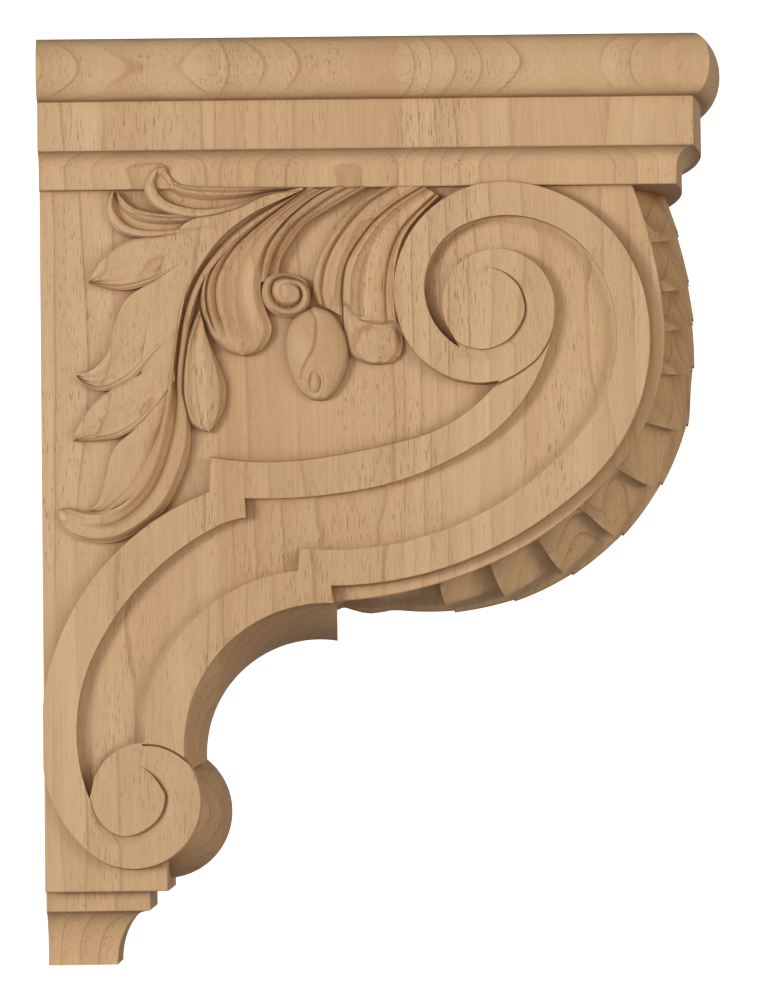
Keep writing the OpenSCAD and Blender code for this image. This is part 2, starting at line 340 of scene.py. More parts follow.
def carved_sheet(name: str, face: np.ndarray, back: np.ndarray) -> bpy.types.Object:
    """Close the space between two sheets of points.

    Args:
        name: Name of the object.
        face: Rows, columns and x, y, z of the worked face.
        back: The same for the face behind it.

    Returns:
        The object.
    """
    rows, cols = face.shape[:2]
    far = rows * cols
    faces: list[tuple[int, ...]] = []
    for i in range(rows - 1):
        for a in range(i * cols, (i + 1) * cols - 1):
            quad = (a, a + 1, a + cols + 1, a + cols)
            faces += [quad, tuple(far + k for k in reversed(quad))]
    grid = np.arange(far).reshape(rows, cols)
    rim = [*grid[0], *grid[1:, -1], *grid[-1, -2::-1], *grid[-2:0:-1, 0]]
    faces += [(b, a, far + a, far + b) for a, b in zip(rim, rim[1:] + rim[:1])]
    return solid(name, np.concatenate([face.reshape(-1, 3), back.reshape(-1, 3)]), faces)


def carved_boss(name: str, face: np.ndarray, back_y: float) -> bpy.types.Object:
    """Close rings that shrink to a point on the worked face, over a flat back.

    Args:
        name: Name of the object.
        face: Rings from the edge to the middle; the last ring is one point.
        back_y: Y of the flat back.

    Returns:
        The object.
    """
    rings, size = face.shape[:2]
    back = face[0].copy()
    back[:, 1] = back_y
    points = np.concatenate([back[None], face]).reshape(-1, 3)
    return solid(name, points, [tuple(range(size)), *hoops(rings + 1, size)])


def lathe(name: str, profile: np.ndarray, centre: Pair, turn: Pair, count: int,
          sway: Pair = (0.0, 0.0)) -> bpy.types.Object:
    """Turn a closed profile part of the way about a line that runs along the wall.

    Args:
        name: Name of the object.
        profile: Radius and Y of the profile.
        centre: x and z of the line.
        turn: First and last angle in degrees.
        count: Steps in the turn.
        sway: x and z by which the middle of the profile stands off from its sides.

    Returns:
        The object.
    """
    swing = np.clip(1 - (profile[:, 1] / np.abs(profile[1:-1, 1]).max()) ** 2, 0, 1)
    rings = []
    for angle in np.radians(np.linspace(*turn, count + 1)):
        x = centre[0] + sway[0] * swing + profile[:, 0] * math.cos(angle)
        z = centre[1] + sway[1] * swing + profile[:, 0] * math.sin(angle)
        rings.append(np.stack([x, profile[:, 1], z], axis=1))
    return loft(name, np.array(rings))


def settle(obj: bpy.types.Object) -> None:
    """Apply the modifiers of an object to its mesh.

    Args:
        obj: The object.
    """
    bpy.context.view_layer.update()
    graph = bpy.context.evaluated_depsgraph_get()
    before = obj.data
    obj.data = bpy.data.meshes.new_from_object(obj.evaluated_get(graph))
    obj.modifiers.clear()
    bpy.data.meshes.remove(before)


def work_in(target: bpy.types.Object, tools: list[bpy.types.Object], cut: Cut) -> bpy.types.Object:
    """Join shapes to another, or carve them out of it.

    Args:
        target: The shape that is changed.
        tools: The shapes that are used up.
        cut: Whether they are added or taken away.

    Returns:
        The changed shape.
    """
    for tool in tools:
        step = target.modifiers.new("carve", "BOOLEAN")
        step.operation = cut.value
        step.solver = "MANIFOLD"
        step.object = tool
        before = len(target.data.vertices)
        settle(target)
        if len(target.data.vertices) == before:
            LOG.warning("%s changed nothing on %s", tool.name, target.name)
        spent = tool.data
        bpy.data.objects.remove(tool)
        bpy.data.meshes.remove(spent)
    return target


def arc_across(mid_r: float, side_r: float, half_w: float, count: int = 12) -> np.ndarray:
    """Draw the round that falls from the middle of a face to its two sides.

    Args:
        mid_r: Radius in the middle.
        side_r: Radius at the sides.
        half_w: Half the width of the face.
        count: Steps on each side of the middle.

    Returns:
        Radius and Y along the round.
    """
    fall = mid_r - side_r
    radius = (half_w ** 2 + fall ** 2) / (2 * abs(fall))
    angle = np.arcsin(half_w / radius) * np.arange(-count, count + 1) / count
    return np.stack([mid_r - math.copysign(1, fall) * radius * (1 - np.cos(angle)),
                     radius * np.sin(angle)], axis=1)


# ---- cap and base ----------------------------------------------------------------------------


@dataclass
class Cap:
    """The moulded cap: a round, a flat band, a hollow and a fillet, bowed out at the front."""

    torus_h: float = 23.5
    fascia_h: float = 18.5
    torus_out: float = 7.5
    cove_r: float = 7.5
    torus_turn: int = 165
    soft: float = 0.35
    half_angle: float = 20.0
    steps: int = 49

    def edge(self) -> np.ndarray:
        """Draw the moulding from the top of the cap down.

        Returns:
            How far it stands out past its foot, and its height in the pattern.
        """
        a = np.radians(np.arange(0, self.torus_turn + 1, 5))
        torus = np.stack([self.cove_r + self.torus_out * np.sin(a),
                          self.torus_h / 2 * (np.cos(a) - 1)], axis=1)
        foot, soft = -self.torus_h - self.fascia_h, self.soft
        band = [[self.cove_r - soft, soft / 7 - self.torus_h], [self.cove_r, -self.torus_h - soft],
                [self.cove_r, foot + soft], [self.cove_r - soft, foot - soft / 2]]
        b = np.radians(np.arange(9, 91, 9))
        cove = np.stack([self.cove_r * (1 - np.sin(b)), foot - self.cove_r * (1 - np.cos(b))], axis=1)
        fillet = [[0, soft - BLOCK.cap_h], [-soft, -BLOCK.cap_h]]
        return np.concatenate([torus, band, cove, fillet]) + [0, BLOCK.cap_h]

    def build(self) -> bpy.types.Object:
        """Run the moulding along the bracket and cut its front to the bow.

        Returns:
            The cap.
        """
        edge = self.edge()
        stands_out = self.torus_out + self.cove_r
        near = np.stack([stands_out - BLOCK.cap_w / 2 - edge[:, 0], edge[:, 1]], axis=1)
        ring = np.concatenate([near, near[::-1] * [-1, 1]])
        reach = BLOCK.cap_projection + BLOCK.bow + BLOCK.past
        bar = loft("cap", np.array([np.insert(ring, 0, x, axis=1) for x in (0.0, reach)]))
        bow_r = ((BLOCK.cap_w / 2) ** 2 + BLOCK.bow ** 2) / (2 * BLOCK.bow)
        axis_x = BLOCK.cap_projection + BLOCK.bow - bow_r
        front = [[bow_r - stands_out + out, z] for out, z in edge]
        outer, above, below = bow_r + 8 * BLOCK.past, BLOCK.cap_h + BLOCK.past, -BLOCK.past
        waste = np.array([[outer, above], [front[0][0], above], *front,
                          [front[-1][0], below], [outer, below]])
        turns = np.radians(np.linspace(-self.half_angle, self.half_angle, self.steps))
        out, up = waste.T
        rings = [np.stack([axis_x + out * math.cos(a), out * math.sin(a), up], axis=1) for a in turns]
        return work_in(bar, [loft("bow", np.array(rings))], Cut.TAKE)


@dataclass
class Base:
    """The moulded base: a flat band over a hollow that runs back to the foot."""

    fascia_h: float = 7.5
    set_in: float = 7.0
    cove: float = 13.0
    soft: float = 0.3

    def build(self) -> bpy.types.Object:
        """Shape the base on its two sides and its front.

        Returns:
            The base.
        """
        top, drop = BLOCK.block_foot_z, BLOCK.base_h - self.fascia_h
        band_foot = top - self.fascia_h
        cut = [[0, top + BLOCK.run_in], [0, band_foot + self.soft], [self.soft, band_foot]]
        sink = self.cove - self.soft
        cut += [[self.soft + sink * math.sin(a), band_foot - drop * (1 - math.cos(a))]
                for a in np.radians(np.arange(6, 91, 6))]
        rings = []
        for d, z in cut:
            half_w, front = BLOCK.panel_y - self.set_in - d, BLOCK.block_x - self.set_in - d
            rings.append([[0, -half_w, z], [front, -half_w, z], [front, half_w, z], [0, half_w, z]])
        return loft("base", np.array(rings))


# ---- body ------------------------------------------------------------------------------------


@dataclass
class Body:
    """The block behind the carving: side panels, hollow, cushion and toe.

    `hollow` and `toe` each hold the x and z of a centre line and a radius; `hollow_sway` is how far the
    middle of the hollow stands off from its sides.
    """

    panel_start: Triple = (223, 2, -68.5)
    panel_arcs: tuple[Pair, ...] = ((-176, -17.5), (-79, -44), (-130, -25.5), (-163, -22))
    heel: Pair = (110.5, -156.5)
    heel_drop: float = 22.0
    behind_hollow: tuple[Pair, ...] = ((71, -209), (53, -219), (46, -232))
    hollow: Triple = (106, -209.5, 53)
    hollow_sway: Pair = (-2.6, -3.0)
    cushion_out: float = 9.5
    cushion_groove: float = 1.5
    toe: Triple = (43.9, -234.2, 25.5)
    toe_side_r: float = 12.0
    hollow_turn: Pair = (20, 290)
    toe_turn: Pair = (-150, 150)
    core: float = 0.5
    bed_in: float = 1.0
    leaf_bed: float = 4.5
    bed_half_w: float = 40.5
    arris: float = 0.4

    def outline(self, bed: float) -> np.ndarray:
        """Draw the side of the body.

        Args:
            bed: How far the front edge is sunk behind the panels, to bed the leaf.

        Returns:
            The points of the outline.
        """
        rows = run_of_arcs(self.panel_start, self.panel_arcs)
        heading = np.radians(rows[:, 2])
        front = rows[:, :2] + bed * np.stack([np.sin(heading), -np.cos(heading)], axis=1)
        if bed:
            front = np.concatenate([[[front[0, 0], self.panel_start[1]]], front[1:-2]])
        low = [(self.heel[0], self.heel[1] - self.heel_drop), *self.behind_hollow,
               (BLOCK.block_x, BLOCK.block_foot_z), (0, BLOCK.block_foot_z)]
        return cleaned(np.concatenate([[[0, self.panel_start[1]]], front, [self.heel], low]))

    def build(self) -> bpy.types.Object:
        """Saw the block to its outline and round its lower front.

        Returns:
            The body.
        """
        half, soft = BLOCK.panel_y, self.arris
        inner = half - self.bed_in
        body = slab("body", self.outline(self.leaf_bed), [(-inner, 0), (inner, 0)])
        panels = [slab("panel", self.outline(0), [
            (side.value * self.bed_half_w, soft), (side.value * (self.bed_half_w + soft), 0),
            (side.value * (half - soft), 0), (side.value * half, soft)]) for side in Side]
        work_in(body, panels, Cut.ADD)
        x, z, side_r = self.hollow
        across = arc_across(side_r - self.cushion_out, side_r + self.cushion_groove, half + 1)
        waste = np.concatenate([[[self.core, -half - 2]], across, [[self.core, half + 2]]])
        hollow = lathe("hollow", waste, (x, z), self.hollow_turn, 180, self.hollow_sway)
        work_in(body, [hollow], Cut.TAKE)
        x, z, mid_r = self.toe
        toe = arc_across(mid_r, self.toe_side_r, half, 16)
        toe = np.concatenate([[[self.core, -half]], toe, [[self.core, half]]])
        return work_in(body, [lathe("toe", toe, (x, z), self.toe_turn, 100)], Cut.ADD)


# ---- scrolls ---------------------------------------------------------------------------------


@dataclass
class Groove:
    """A groove with one upright side, cut along a line: the soft side lies to its left.

    `section` gives how far across the groove a point lies and how far down, both as shares.
    """

    line: list[Pair]
    widths: list[Pair]
    depths: list[Pair]
    count: int = 60
    section: tuple[Pair, ...] = ((0.0, 0.0), (0.04, 1.0), (0.18, 0.96), (0.38, 0.72), (0.6, 0.38),
                                 (0.8, 0.12), (1.0, 0.0))

    def build(self, side: Side) -> bpy.types.Object:
        """Make the shape that cuts the groove.

        Args:
            side: Side of the bracket it is cut on.

        Returns:
            The cutting shape.
        """
        line = spaced(smooth_curve(self.line), self.count)
        along = np.gradient(line, axis=0)
        along /= np.linalg.norm(along, axis=1, keepdims=True)
        left = np.stack([-along[:, 1], along[:, 0]], axis=1)
        t = np.linspace(0, 1, self.count)
        across, down = np.array(self.section).T
        across = np.concatenate([[0.0], across, [1.0]])
        left *= soft_profile(self.widths, t)[:, None]
        flat = line[:, None] + left[:, None] * across[None, :, None]
        sink = np.full((self.count, len(across)), -BLOCK.past)
        sink[:, 1:-1] = down[None] * soft_profile(self.depths, t)[:, None]
        return loft("groove", np.insert(flat, 1, side.value * (BLOCK.scroll_y - sink), axis=2))


@dataclass
class Scroll:
    """The S-shaped pair of scrolls on one side, with the channel sunk between their bands.

    Each `start` is the x, z and heading at which a run of arcs begins, and each `arcs` holds the
    radius and turn of every arc. The channel runs between `channel` and `inner`, then between `fore`
    and `rear`. `across` and `lean` shape its floor.
    """

    upper_start: Triple = (172.3, -73.9, -168)
    upper_arcs: tuple[Pair, ...] = ((-32, -82), (-41, -113), (-55.5, -75.5), (-74.5, -60.5),
                                    (-162.5, -8.5), (-139, -33))
    hollow_start: Triple = (109.1, -156.7, 177)
    hollow_arcs: tuple[Pair, ...] = ((53.5, 96),)
    lower_start: Triple = (63.1, -114.3, -160)
    lower_arcs: tuple[Pair, ...] = ((97, 76), (51.5, 42.5), (25.2, 149))
    curl_r: float = 20.5
    curl_to_hollow: float = 28.0
    curl_to_channel: float = 75.0
    curl_in_channel: float = 65.0
    back_start: Triple = (171.2, -74.7, -129)
    back_arcs: tuple[Pair, ...] = ((-60.5, -36), (-275, -8), (-130, -17))
    channel_start: Triple = (157.7, -61.2, 150.5)
    channel_arcs: tuple[Pair, ...] = ((-26.1, -128), (-39.8, -90), (-55, -61), (-120.5, -58))
    inner_start: Triple = (152.9, -52.8, 113)
    inner_arcs: tuple[Pair, ...] = ((-20.6, -121.5), (-21.7, -85.5), (-65, -54.5), (-119.5, -21.5),
                                    (-205, -12.5))
    fore_start: Triple = (96, -144.4, -175.5)
    fore_arcs: tuple[Pair, ...] = ((63.2, 77.5), (37.3, 13.5))
    rear_start: Triple = (76.7, -124.2, -174.5)
    rear_arcs: tuple[Pair, ...] = ((32, 21.5), (103, 37.5), (67.5, 47))
    notch_clear: float = 3.4
    channel_depth: float = 4.3
    inner_to_step: float = 0.92135
    fore_in_step: float = 0.16
    across: tuple[float, ...] = (0, 0.02, 0.06, 0.12, 0.2, 0.3, 0.4, 0.5,
                                 0.6, 0.7, 0.8, 0.88, 0.94, 0.98, 1.0)
    lean: tuple[Pair, ...] = ((0, -1.0), (0.1, -1.0), (0.24, 1.0), (1, 1.0))
    floor_rise: float = 0.15
    floor_dip: float = 0.6
    dip_at: float = 0.06
    dip_w: float = 0.13
    corner: float = 0.6
    corner_w: float = 0.03
    fillet: float = 0.5
    arris: float = 0.45
    grooves: list[Groove] = field(default_factory=lambda: [
        Groove([(154.0, -57.0), (158.6, -60.0), (162.7, -61.4), (167.1, -61.8), (172.9, -60.0),
                (177.0, -57.1), (180.3, -52.6), (182.0, -48.2), (181.8, -43.7), (180.1, -38.7),
                (177.3, -35.4), (173.2, -32.5), (167.5, -30.6)][::-1],
               [(0, 0.15), (0.3, 1.6), (0.5, 2.6), (0.72, 6.0), (0.86, 6.0), (1, 1.0)],
               [(0, 0.15), (0.25, 1.2), (0.6, 1.5), (0.85, 1.3), (1, 0.6)]),
        Groove([(17.6, -228.7), (19.1, -233.6), (22.2, -238.6), (26.5, -241.7), (31.1, -242.7),
                (37.4, -240.7), (43.2, -235.5), (45.3, -228.8), (44.0, -225.0), (40.2, -219.8),
                (35.8, -216.4)][::-1],
               [(0, 0.2), (0.2, 2.4), (0.4, 4.0), (0.7, 4.5), (0.88, 2.0), (1, 0.3)],
               [(0, 0.15), (0.2, 1.6), (0.55, 1.8), (0.85, 1.0), (1, 0.3)]),
        Groove([(194.0, -45.0), (193.3, -50.2), (192.3, -55.0), (190.0, -60.6), (185.8, -66.2),
                (179.9, -70.5), (175.3, -73.0), (171.0, -75.0), (165.5, -77.2)],
               [(0, 0.8), (0.5, 1.1), (1, 1.3)], [(0, 0.7), (0.5, 0.9), (1, 1.2)]),
        Groove([(37.0, -209.2), (43.0, -209.7), (49.0, -212.2), (54.0, -216.0), (57.0, -219.6),
                (59.5, -223.6)],
               [(0, 0.9), (1, 1.1)], [(0, 1.5), (0.6, 1.2), (1, 1.2)], 24),
    ])

    def outline(self) -> np.ndarray:
        """Draw the outline of both scrolls in one.

        Returns:
            The points of the outline.
        """
        lower = run_of_arcs(self.lower_start, self.lower_arcs)
        curl = run_of_arcs(tuple(lower[-1]), ((self.curl_r, self.curl_to_hollow),))
        parts = [run_of_arcs(self.upper_start, self.upper_arcs),
                 run_of_arcs(self.hollow_start, self.hollow_arcs),
                 np.concatenate([lower, curl[1:]])[::-1],
                 run_of_arcs(self.back_start, self.back_arcs)[::-1]]
        rows = cleaned(np.concatenate(parts)[:, :2], 0.3)
        off = np.linalg.norm(rows - np.array(self.upper_start[:2]), axis=1)
        return rows[(off == 0) | (off > self.notch_clear)]

    def channel(self, side: Side) -> bpy.types.Object:
        """Make the shape that sinks the channel, with its steps and its hollowed floor.

        Args:
            side: Side of the bracket it is cut on.

        Returns:
            The cutting shape.
        """
        outer = run_of_arcs(self.channel_start, self.channel_arcs)[:, :2]
        inner = run_of_arcs(self.inner_start, self.inner_arcs)[:, :2]
        lower = run_of_arcs(self.lower_start, self.lower_arcs)[-1]
        top = run_of_arcs(tuple(lower), ((self.curl_r, self.curl_to_channel),))[-1]
        curl = run_of_arcs(tuple(top), ((self.curl_r, self.curl_in_channel),))[:, :2]
        fore = np.concatenate([run_of_arcs(self.fore_start, self.fore_arcs)[:, :2], curl])
        rear = run_of_arcs(self.rear_start, self.rear_arcs)[:, :2]
        step = self.inner_to_step
        a = np.concatenate([spaced(outer, 120), spaced(fore, 14, 0, self.fore_in_step),
                            spaced(fore, 80, self.fore_in_step, 1)])
        b = np.concatenate([spaced(inner, 120, 0, step), spaced(inner, 14, step, 1), spaced(rear, 80)])
        s = np.array(self.across)
        lean = soft_profile(self.lean, np.linspace(0, 1, len(a)))[:, None]
        rise = (1 + lean) / 2 * (1 - s) ** 2.2 + (1 - lean) / 2 * s ** 2.2
        depth = self.channel_depth * (1 - self.floor_rise * rise)
        depth -= self.corner * (np.exp(-s / self.corner_w) + np.exp(-(1 - s) / self.corner_w))
        depth += self.floor_dip * bell(s, self.dip_at, self.dip_w)
        flat = a[:, None] * (1 - s[None, :, None]) + b[:, None] * s[None, :, None]
        floor = np.insert(flat, 1, side.value * (BLOCK.scroll_y - depth), axis=2)
        above = np.insert(flat, 1, side.value * (BLOCK.scroll_y + BLOCK.past), axis=2)
        return carved_sheet("channel", floor, above)

    def build(self, side: Side) -> bpy.types.Object:
        """Raise the scrolls and sink their channel and grooves.

        Args:
            side: Side of the bracket they stand on.

        Returns:
            The finished pair of scrolls.
        """
        sign, soft, foot, face = side.value, self.arris, BLOCK.panel_y, BLOCK.scroll_y
        levels = [(foot - BLOCK.run_in, -self.fillet), (foot, -self.fillet), (foot + 0.6, -0.12),
                  (foot + 1.4, 0), (face - soft, 0), (face - 0.3 * soft, 0.3 * soft), (face, soft)]
        scrolls = slab("scrolls", self.outline(), [(sign * y, by) for y, by in levels])
        tools = [self.channel(side)] + [groove.build(side) for groove in self.grooves]
        # Whatever of the lower curl would stand in the wall is cut off flat.
        wall = np.array([[-9.0, 9.0], [0.0, 9.0], [0.0, -300.0], [-9.0, -300.0]])
        tools.append(slab("behind", wall, [(sign * 30.0, 0), (sign * 60.0, 0)]))
        return work_in(scrolls, tools, Cut.TAKE)


# ---- side leaves -----------------------------------------------------------------------------


class Section(Enum):
    """Cross-sections of the side leaves, from one edge to the other, as shares of their height."""

    LEVEL = ((0, 0.96), (0.5, 1.0), (1, 0.96))
    BLADE = ((0, 0.82), (0.06, 1.0), (0.3, 0.97), (0.62, 0.72), (0.8, 0.5), (0.86, 0.62),
             (0.93, 0.98), (1, 0.72))
    SCOOP = ((0, 0.78), (0.07, 0.95), (0.2, 0.7), (0.45, 0.25), (0.64, 0.3), (0.72, 0.9), (0.8, 1.0),
             (0.92, 0.92), (1, 0.55))
    STEM = ((0, 0.85), (0.08, 0.8), (0.28, 0.45), (0.42, 0.3), (0.5, 0.82), (0.6, 1.0), (0.8, 0.93),
            (1, 0.4))
    ROUND = ((0, 0.35), (0.12, 0.75), (0.35, 0.98), (0.6, 1.0), (0.85, 0.78), (1, 0.35))
    TEAR = ((0, 0.55), (0.12, 0.8), (0.26, 0.62), (0.4, 0.78), (0.62, 1.0), (0.85, 0.85), (1, 0.4))
    RIDGED = ((0, 0.4), (0.05, 0.78), (0.1, 0.5), (0.17, 0.95), (0.24, 0.62), (0.32, 0.98), (0.5, 0.72),
              (0.7, 0.5), (0.86, 0.72), (1, 0.45))
    BAND = ((0, 0.7), (0.12, 1.0), (0.28, 0.85), (0.5, 0.42), (0.72, 0.45), (0.88, 0.95), (1, 0.7))
    VEINED = ((0, 0.5), (0.14, 0.85), (0.28, 0.55), (0.38, 1.0), (0.66, 0.8), (0.88, 0.6), (1, 0.4))
    FLUTED = ((0, 0.6), (0.1, 1.0), (0.2, 0.72), (0.3, 0.55), (0.5, 0.78), (0.66, 0.72), (0.76, 0.45),
              (0.86, 0.95), (1, 0.55))


@dataclass
class Leaf:
    """One leaf of a side spray, drawn by its two edges from the root to the tip.

    The section goes over to that of the tip within `tip_from`. Up to `level_to` the root is levelled,
    so that it meets its neighbours. `fold` moves the start of the tip across the leaf, and `edge_pull`
    draws the points of a section towards the edges.
    """

    name: str
    rise: float
    section: Section
    edge_a: list[Pair]
    edge_b: list[Pair]
    tip: Section = Section.ROUND
    tip_from: Pair = (0.8, 1.0)
    along: list[Pair] = field(default_factory=lambda: [(0, 0.95), (0.3, 1.0), (0.85, 1.0), (1, 0.72)])
    rows: int = 44
    cols: int = 22
    level_to: float = 0.0
    fold: list[Pair] = field(default_factory=lambda: [(0, 0), (1, 0)])
    edge_pull: float = 0.55

    def build(self, side: Side) -> bpy.types.Object:
        """Carve the leaf.

        Args:
            side: Side of the bracket it lies on.

        Returns:
            The leaf, sunk a little into the panel.
        """
        a = spaced(smooth_curve(self.edge_a), self.rows)
        b = spaced(smooth_curve(self.edge_b), self.rows)
        t = np.linspace(0, 1, self.rows)
        even = np.linspace(0, 1, self.cols)
        s = (1 - self.edge_pull) * even + self.edge_pull * (0.5 - 0.5 * np.cos(np.pi * even))
        shifted = t[:, None] - soft_profile(self.fold, s)[None]
        mix = ease(*self.tip_from, shifted)
        level = np.zeros((self.rows, 1))
        if self.level_to:
            level = 1 - ease(0.02, self.level_to, t)[:, None]
        body, end, plain = (soft_profile(section.value, s)[None]
                            for section in (self.section, self.tip, Section.LEVEL))
        height = self.rise * ((body * (1 - level) + plain * level) * (1 - mix) + end * mix)
        height = height * soft_profile(self.along, shifted.ravel()).reshape(shifted.shape)
        flat = a[:, None] * (1 - s[None, :, None]) + b[:, None] * s[None, :, None]
        face = np.insert(flat, 1, side.value * (BLOCK.panel_y + height), axis=2)
        back = np.insert(flat, 1, side.value * (BLOCK.panel_y - BLOCK.run_in), axis=2)
        return carved_sheet(self.name, face, back)


@dataclass
class Boss:
    """A rounded knob of the spray, worked in rings from its edge to its middle."""

    name: str
    rise: float
    edge: list[Pair]
    centre: Pair
    rim: float = 0.25
    rings: int = 30
    around: int = 96

    def relief(self, spot: np.ndarray, out: np.ndarray) -> np.ndarray:
        """Find the height over the panel.

        Args:
            spot: x and z of each point.
            out: Share of the way from the middle to the edge.

        Returns:
            The heights in millimetres.
        """
        return self.rise * (self.rim + (1 - self.rim) * np.sqrt(np.clip(1 - out ** 2.2, 0, 1)))

    def build(self, side: Side) -> bpy.types.Object:
        """Carve the knob.

        Args:
            side: Side of the bracket it lies on.

        Returns:
            The knob, sunk a little into the panel.
        """
        edge = spaced(smooth_curve([*self.edge, self.edge[0]]), self.around + 1)[:-1]
        out = 1 - np.linspace(0, 1, self.rings) ** 1.15
        middle = np.array(self.centre)
        flat = middle + (edge[None] - middle) * out[:, None, None]
        height = self.relief(flat, np.repeat(out[:, None], self.around, axis=1))
        face = np.insert(flat, 1, side.value * (BLOCK.panel_y + height), axis=2)
        return carved_boss(self.name, face, side.value * (BLOCK.panel_y - BLOCK.run_in))


@dataclass
class Bud(Boss):
    """The domed bud, with a curled groove down it and a seed at its foot.

    `seed` holds its x, z, width and height. `rim`, `top` and `ring` of the seed each hold how high they
    stand, how far out they lie as a share of the seed, and how wide they are.
    """

    vein: list[Pair] = field(default_factory=lambda: [
        (101.4, -45.5), (103.2, -47.8), (104.1, -51), (104.0, -55.5), (103.1, -60.5), (100.8, -65.2),
        (99.0, -68.7), (98.2, -72)])
    groove_w: float = 0.75
    groove_d: float = 1.0
    seed: tuple[float, float, float, float] = (103.2, -73.9, 2.0, 3.9)
    seed_rim: Triple = (-0.8, 1.0, 0.22)
    seed_top: Triple = (0.5, 0.0, 0.75)
    seed_ring: Triple = (-0.35, 1.75, 0.16)

    def relief(self, spot: np.ndarray, out: np.ndarray) -> np.ndarray:
        """Find the height of the bud with its groove and its seed.

        Args:
            spot: x and z of each point.
            out: Share of the way from the middle to the edge.

        Returns:
            The heights in millimetres.
        """
        vein = smooth_curve(self.vein)
        gap = np.linalg.norm(spot[:, :, None] - vein[None, None], axis=3).min(axis=2)
        x, z, wide, high = self.seed
        seed = np.hypot((spot[..., 0] - x) / wide, (spot[..., 1] - z) / high)
        height = super().relief(spot, out) - self.groove_d * bell(gap, 0, self.groove_w)
        for (rise, at, reach), power in ((self.seed_rim, 2), (self.seed_top, 4), (self.seed_ring, 2)):
            height = height + rise * bell(seed, at, reach, power)
        return height


@dataclass
class Curl(Boss):
    """The small rolled end of a leaf, wound round its eye."""

    pitch: float = 0.5
    mouth: float = 0.12
    eye: float = 0.4
    eye_soft: float = 0.06
    eye_dome: float = 0.12
    hollow: float = 0.45
    rim_from: float = 0.84
    rim_drop: float = 0.4

    def relief(self, spot: np.ndarray, out: np.ndarray) -> np.ndarray:
        """Find the height of the roll and its eye.

        Args:
            spot: x and z of each point.
            out: Share of the way from the middle to the edge.

        Returns:
            The heights in millimetres.
        """
        dx, dz = spot[..., 0] - self.centre[0], spot[..., 1] - self.centre[1]
        turn = np.arctan2(dz, dx) / (2 * np.pi)
        wound = (out + self.pitch * (turn + self.mouth)) % self.pitch / self.pitch
        roll = self.hollow + (1 - self.hollow) * np.sin(np.pi * wound) ** 0.7
        dome = 1 - self.eye_dome * (out / self.eye) ** 2
        eye = 1 - ease(self.eye - self.eye_soft, self.eye + self.eye_soft, out)
        rim = 1 - self.rim_drop * ease(self.rim_from, 1.0, out)
        return self.rise * (roll * (1 - eye) + eye * dome) * rim


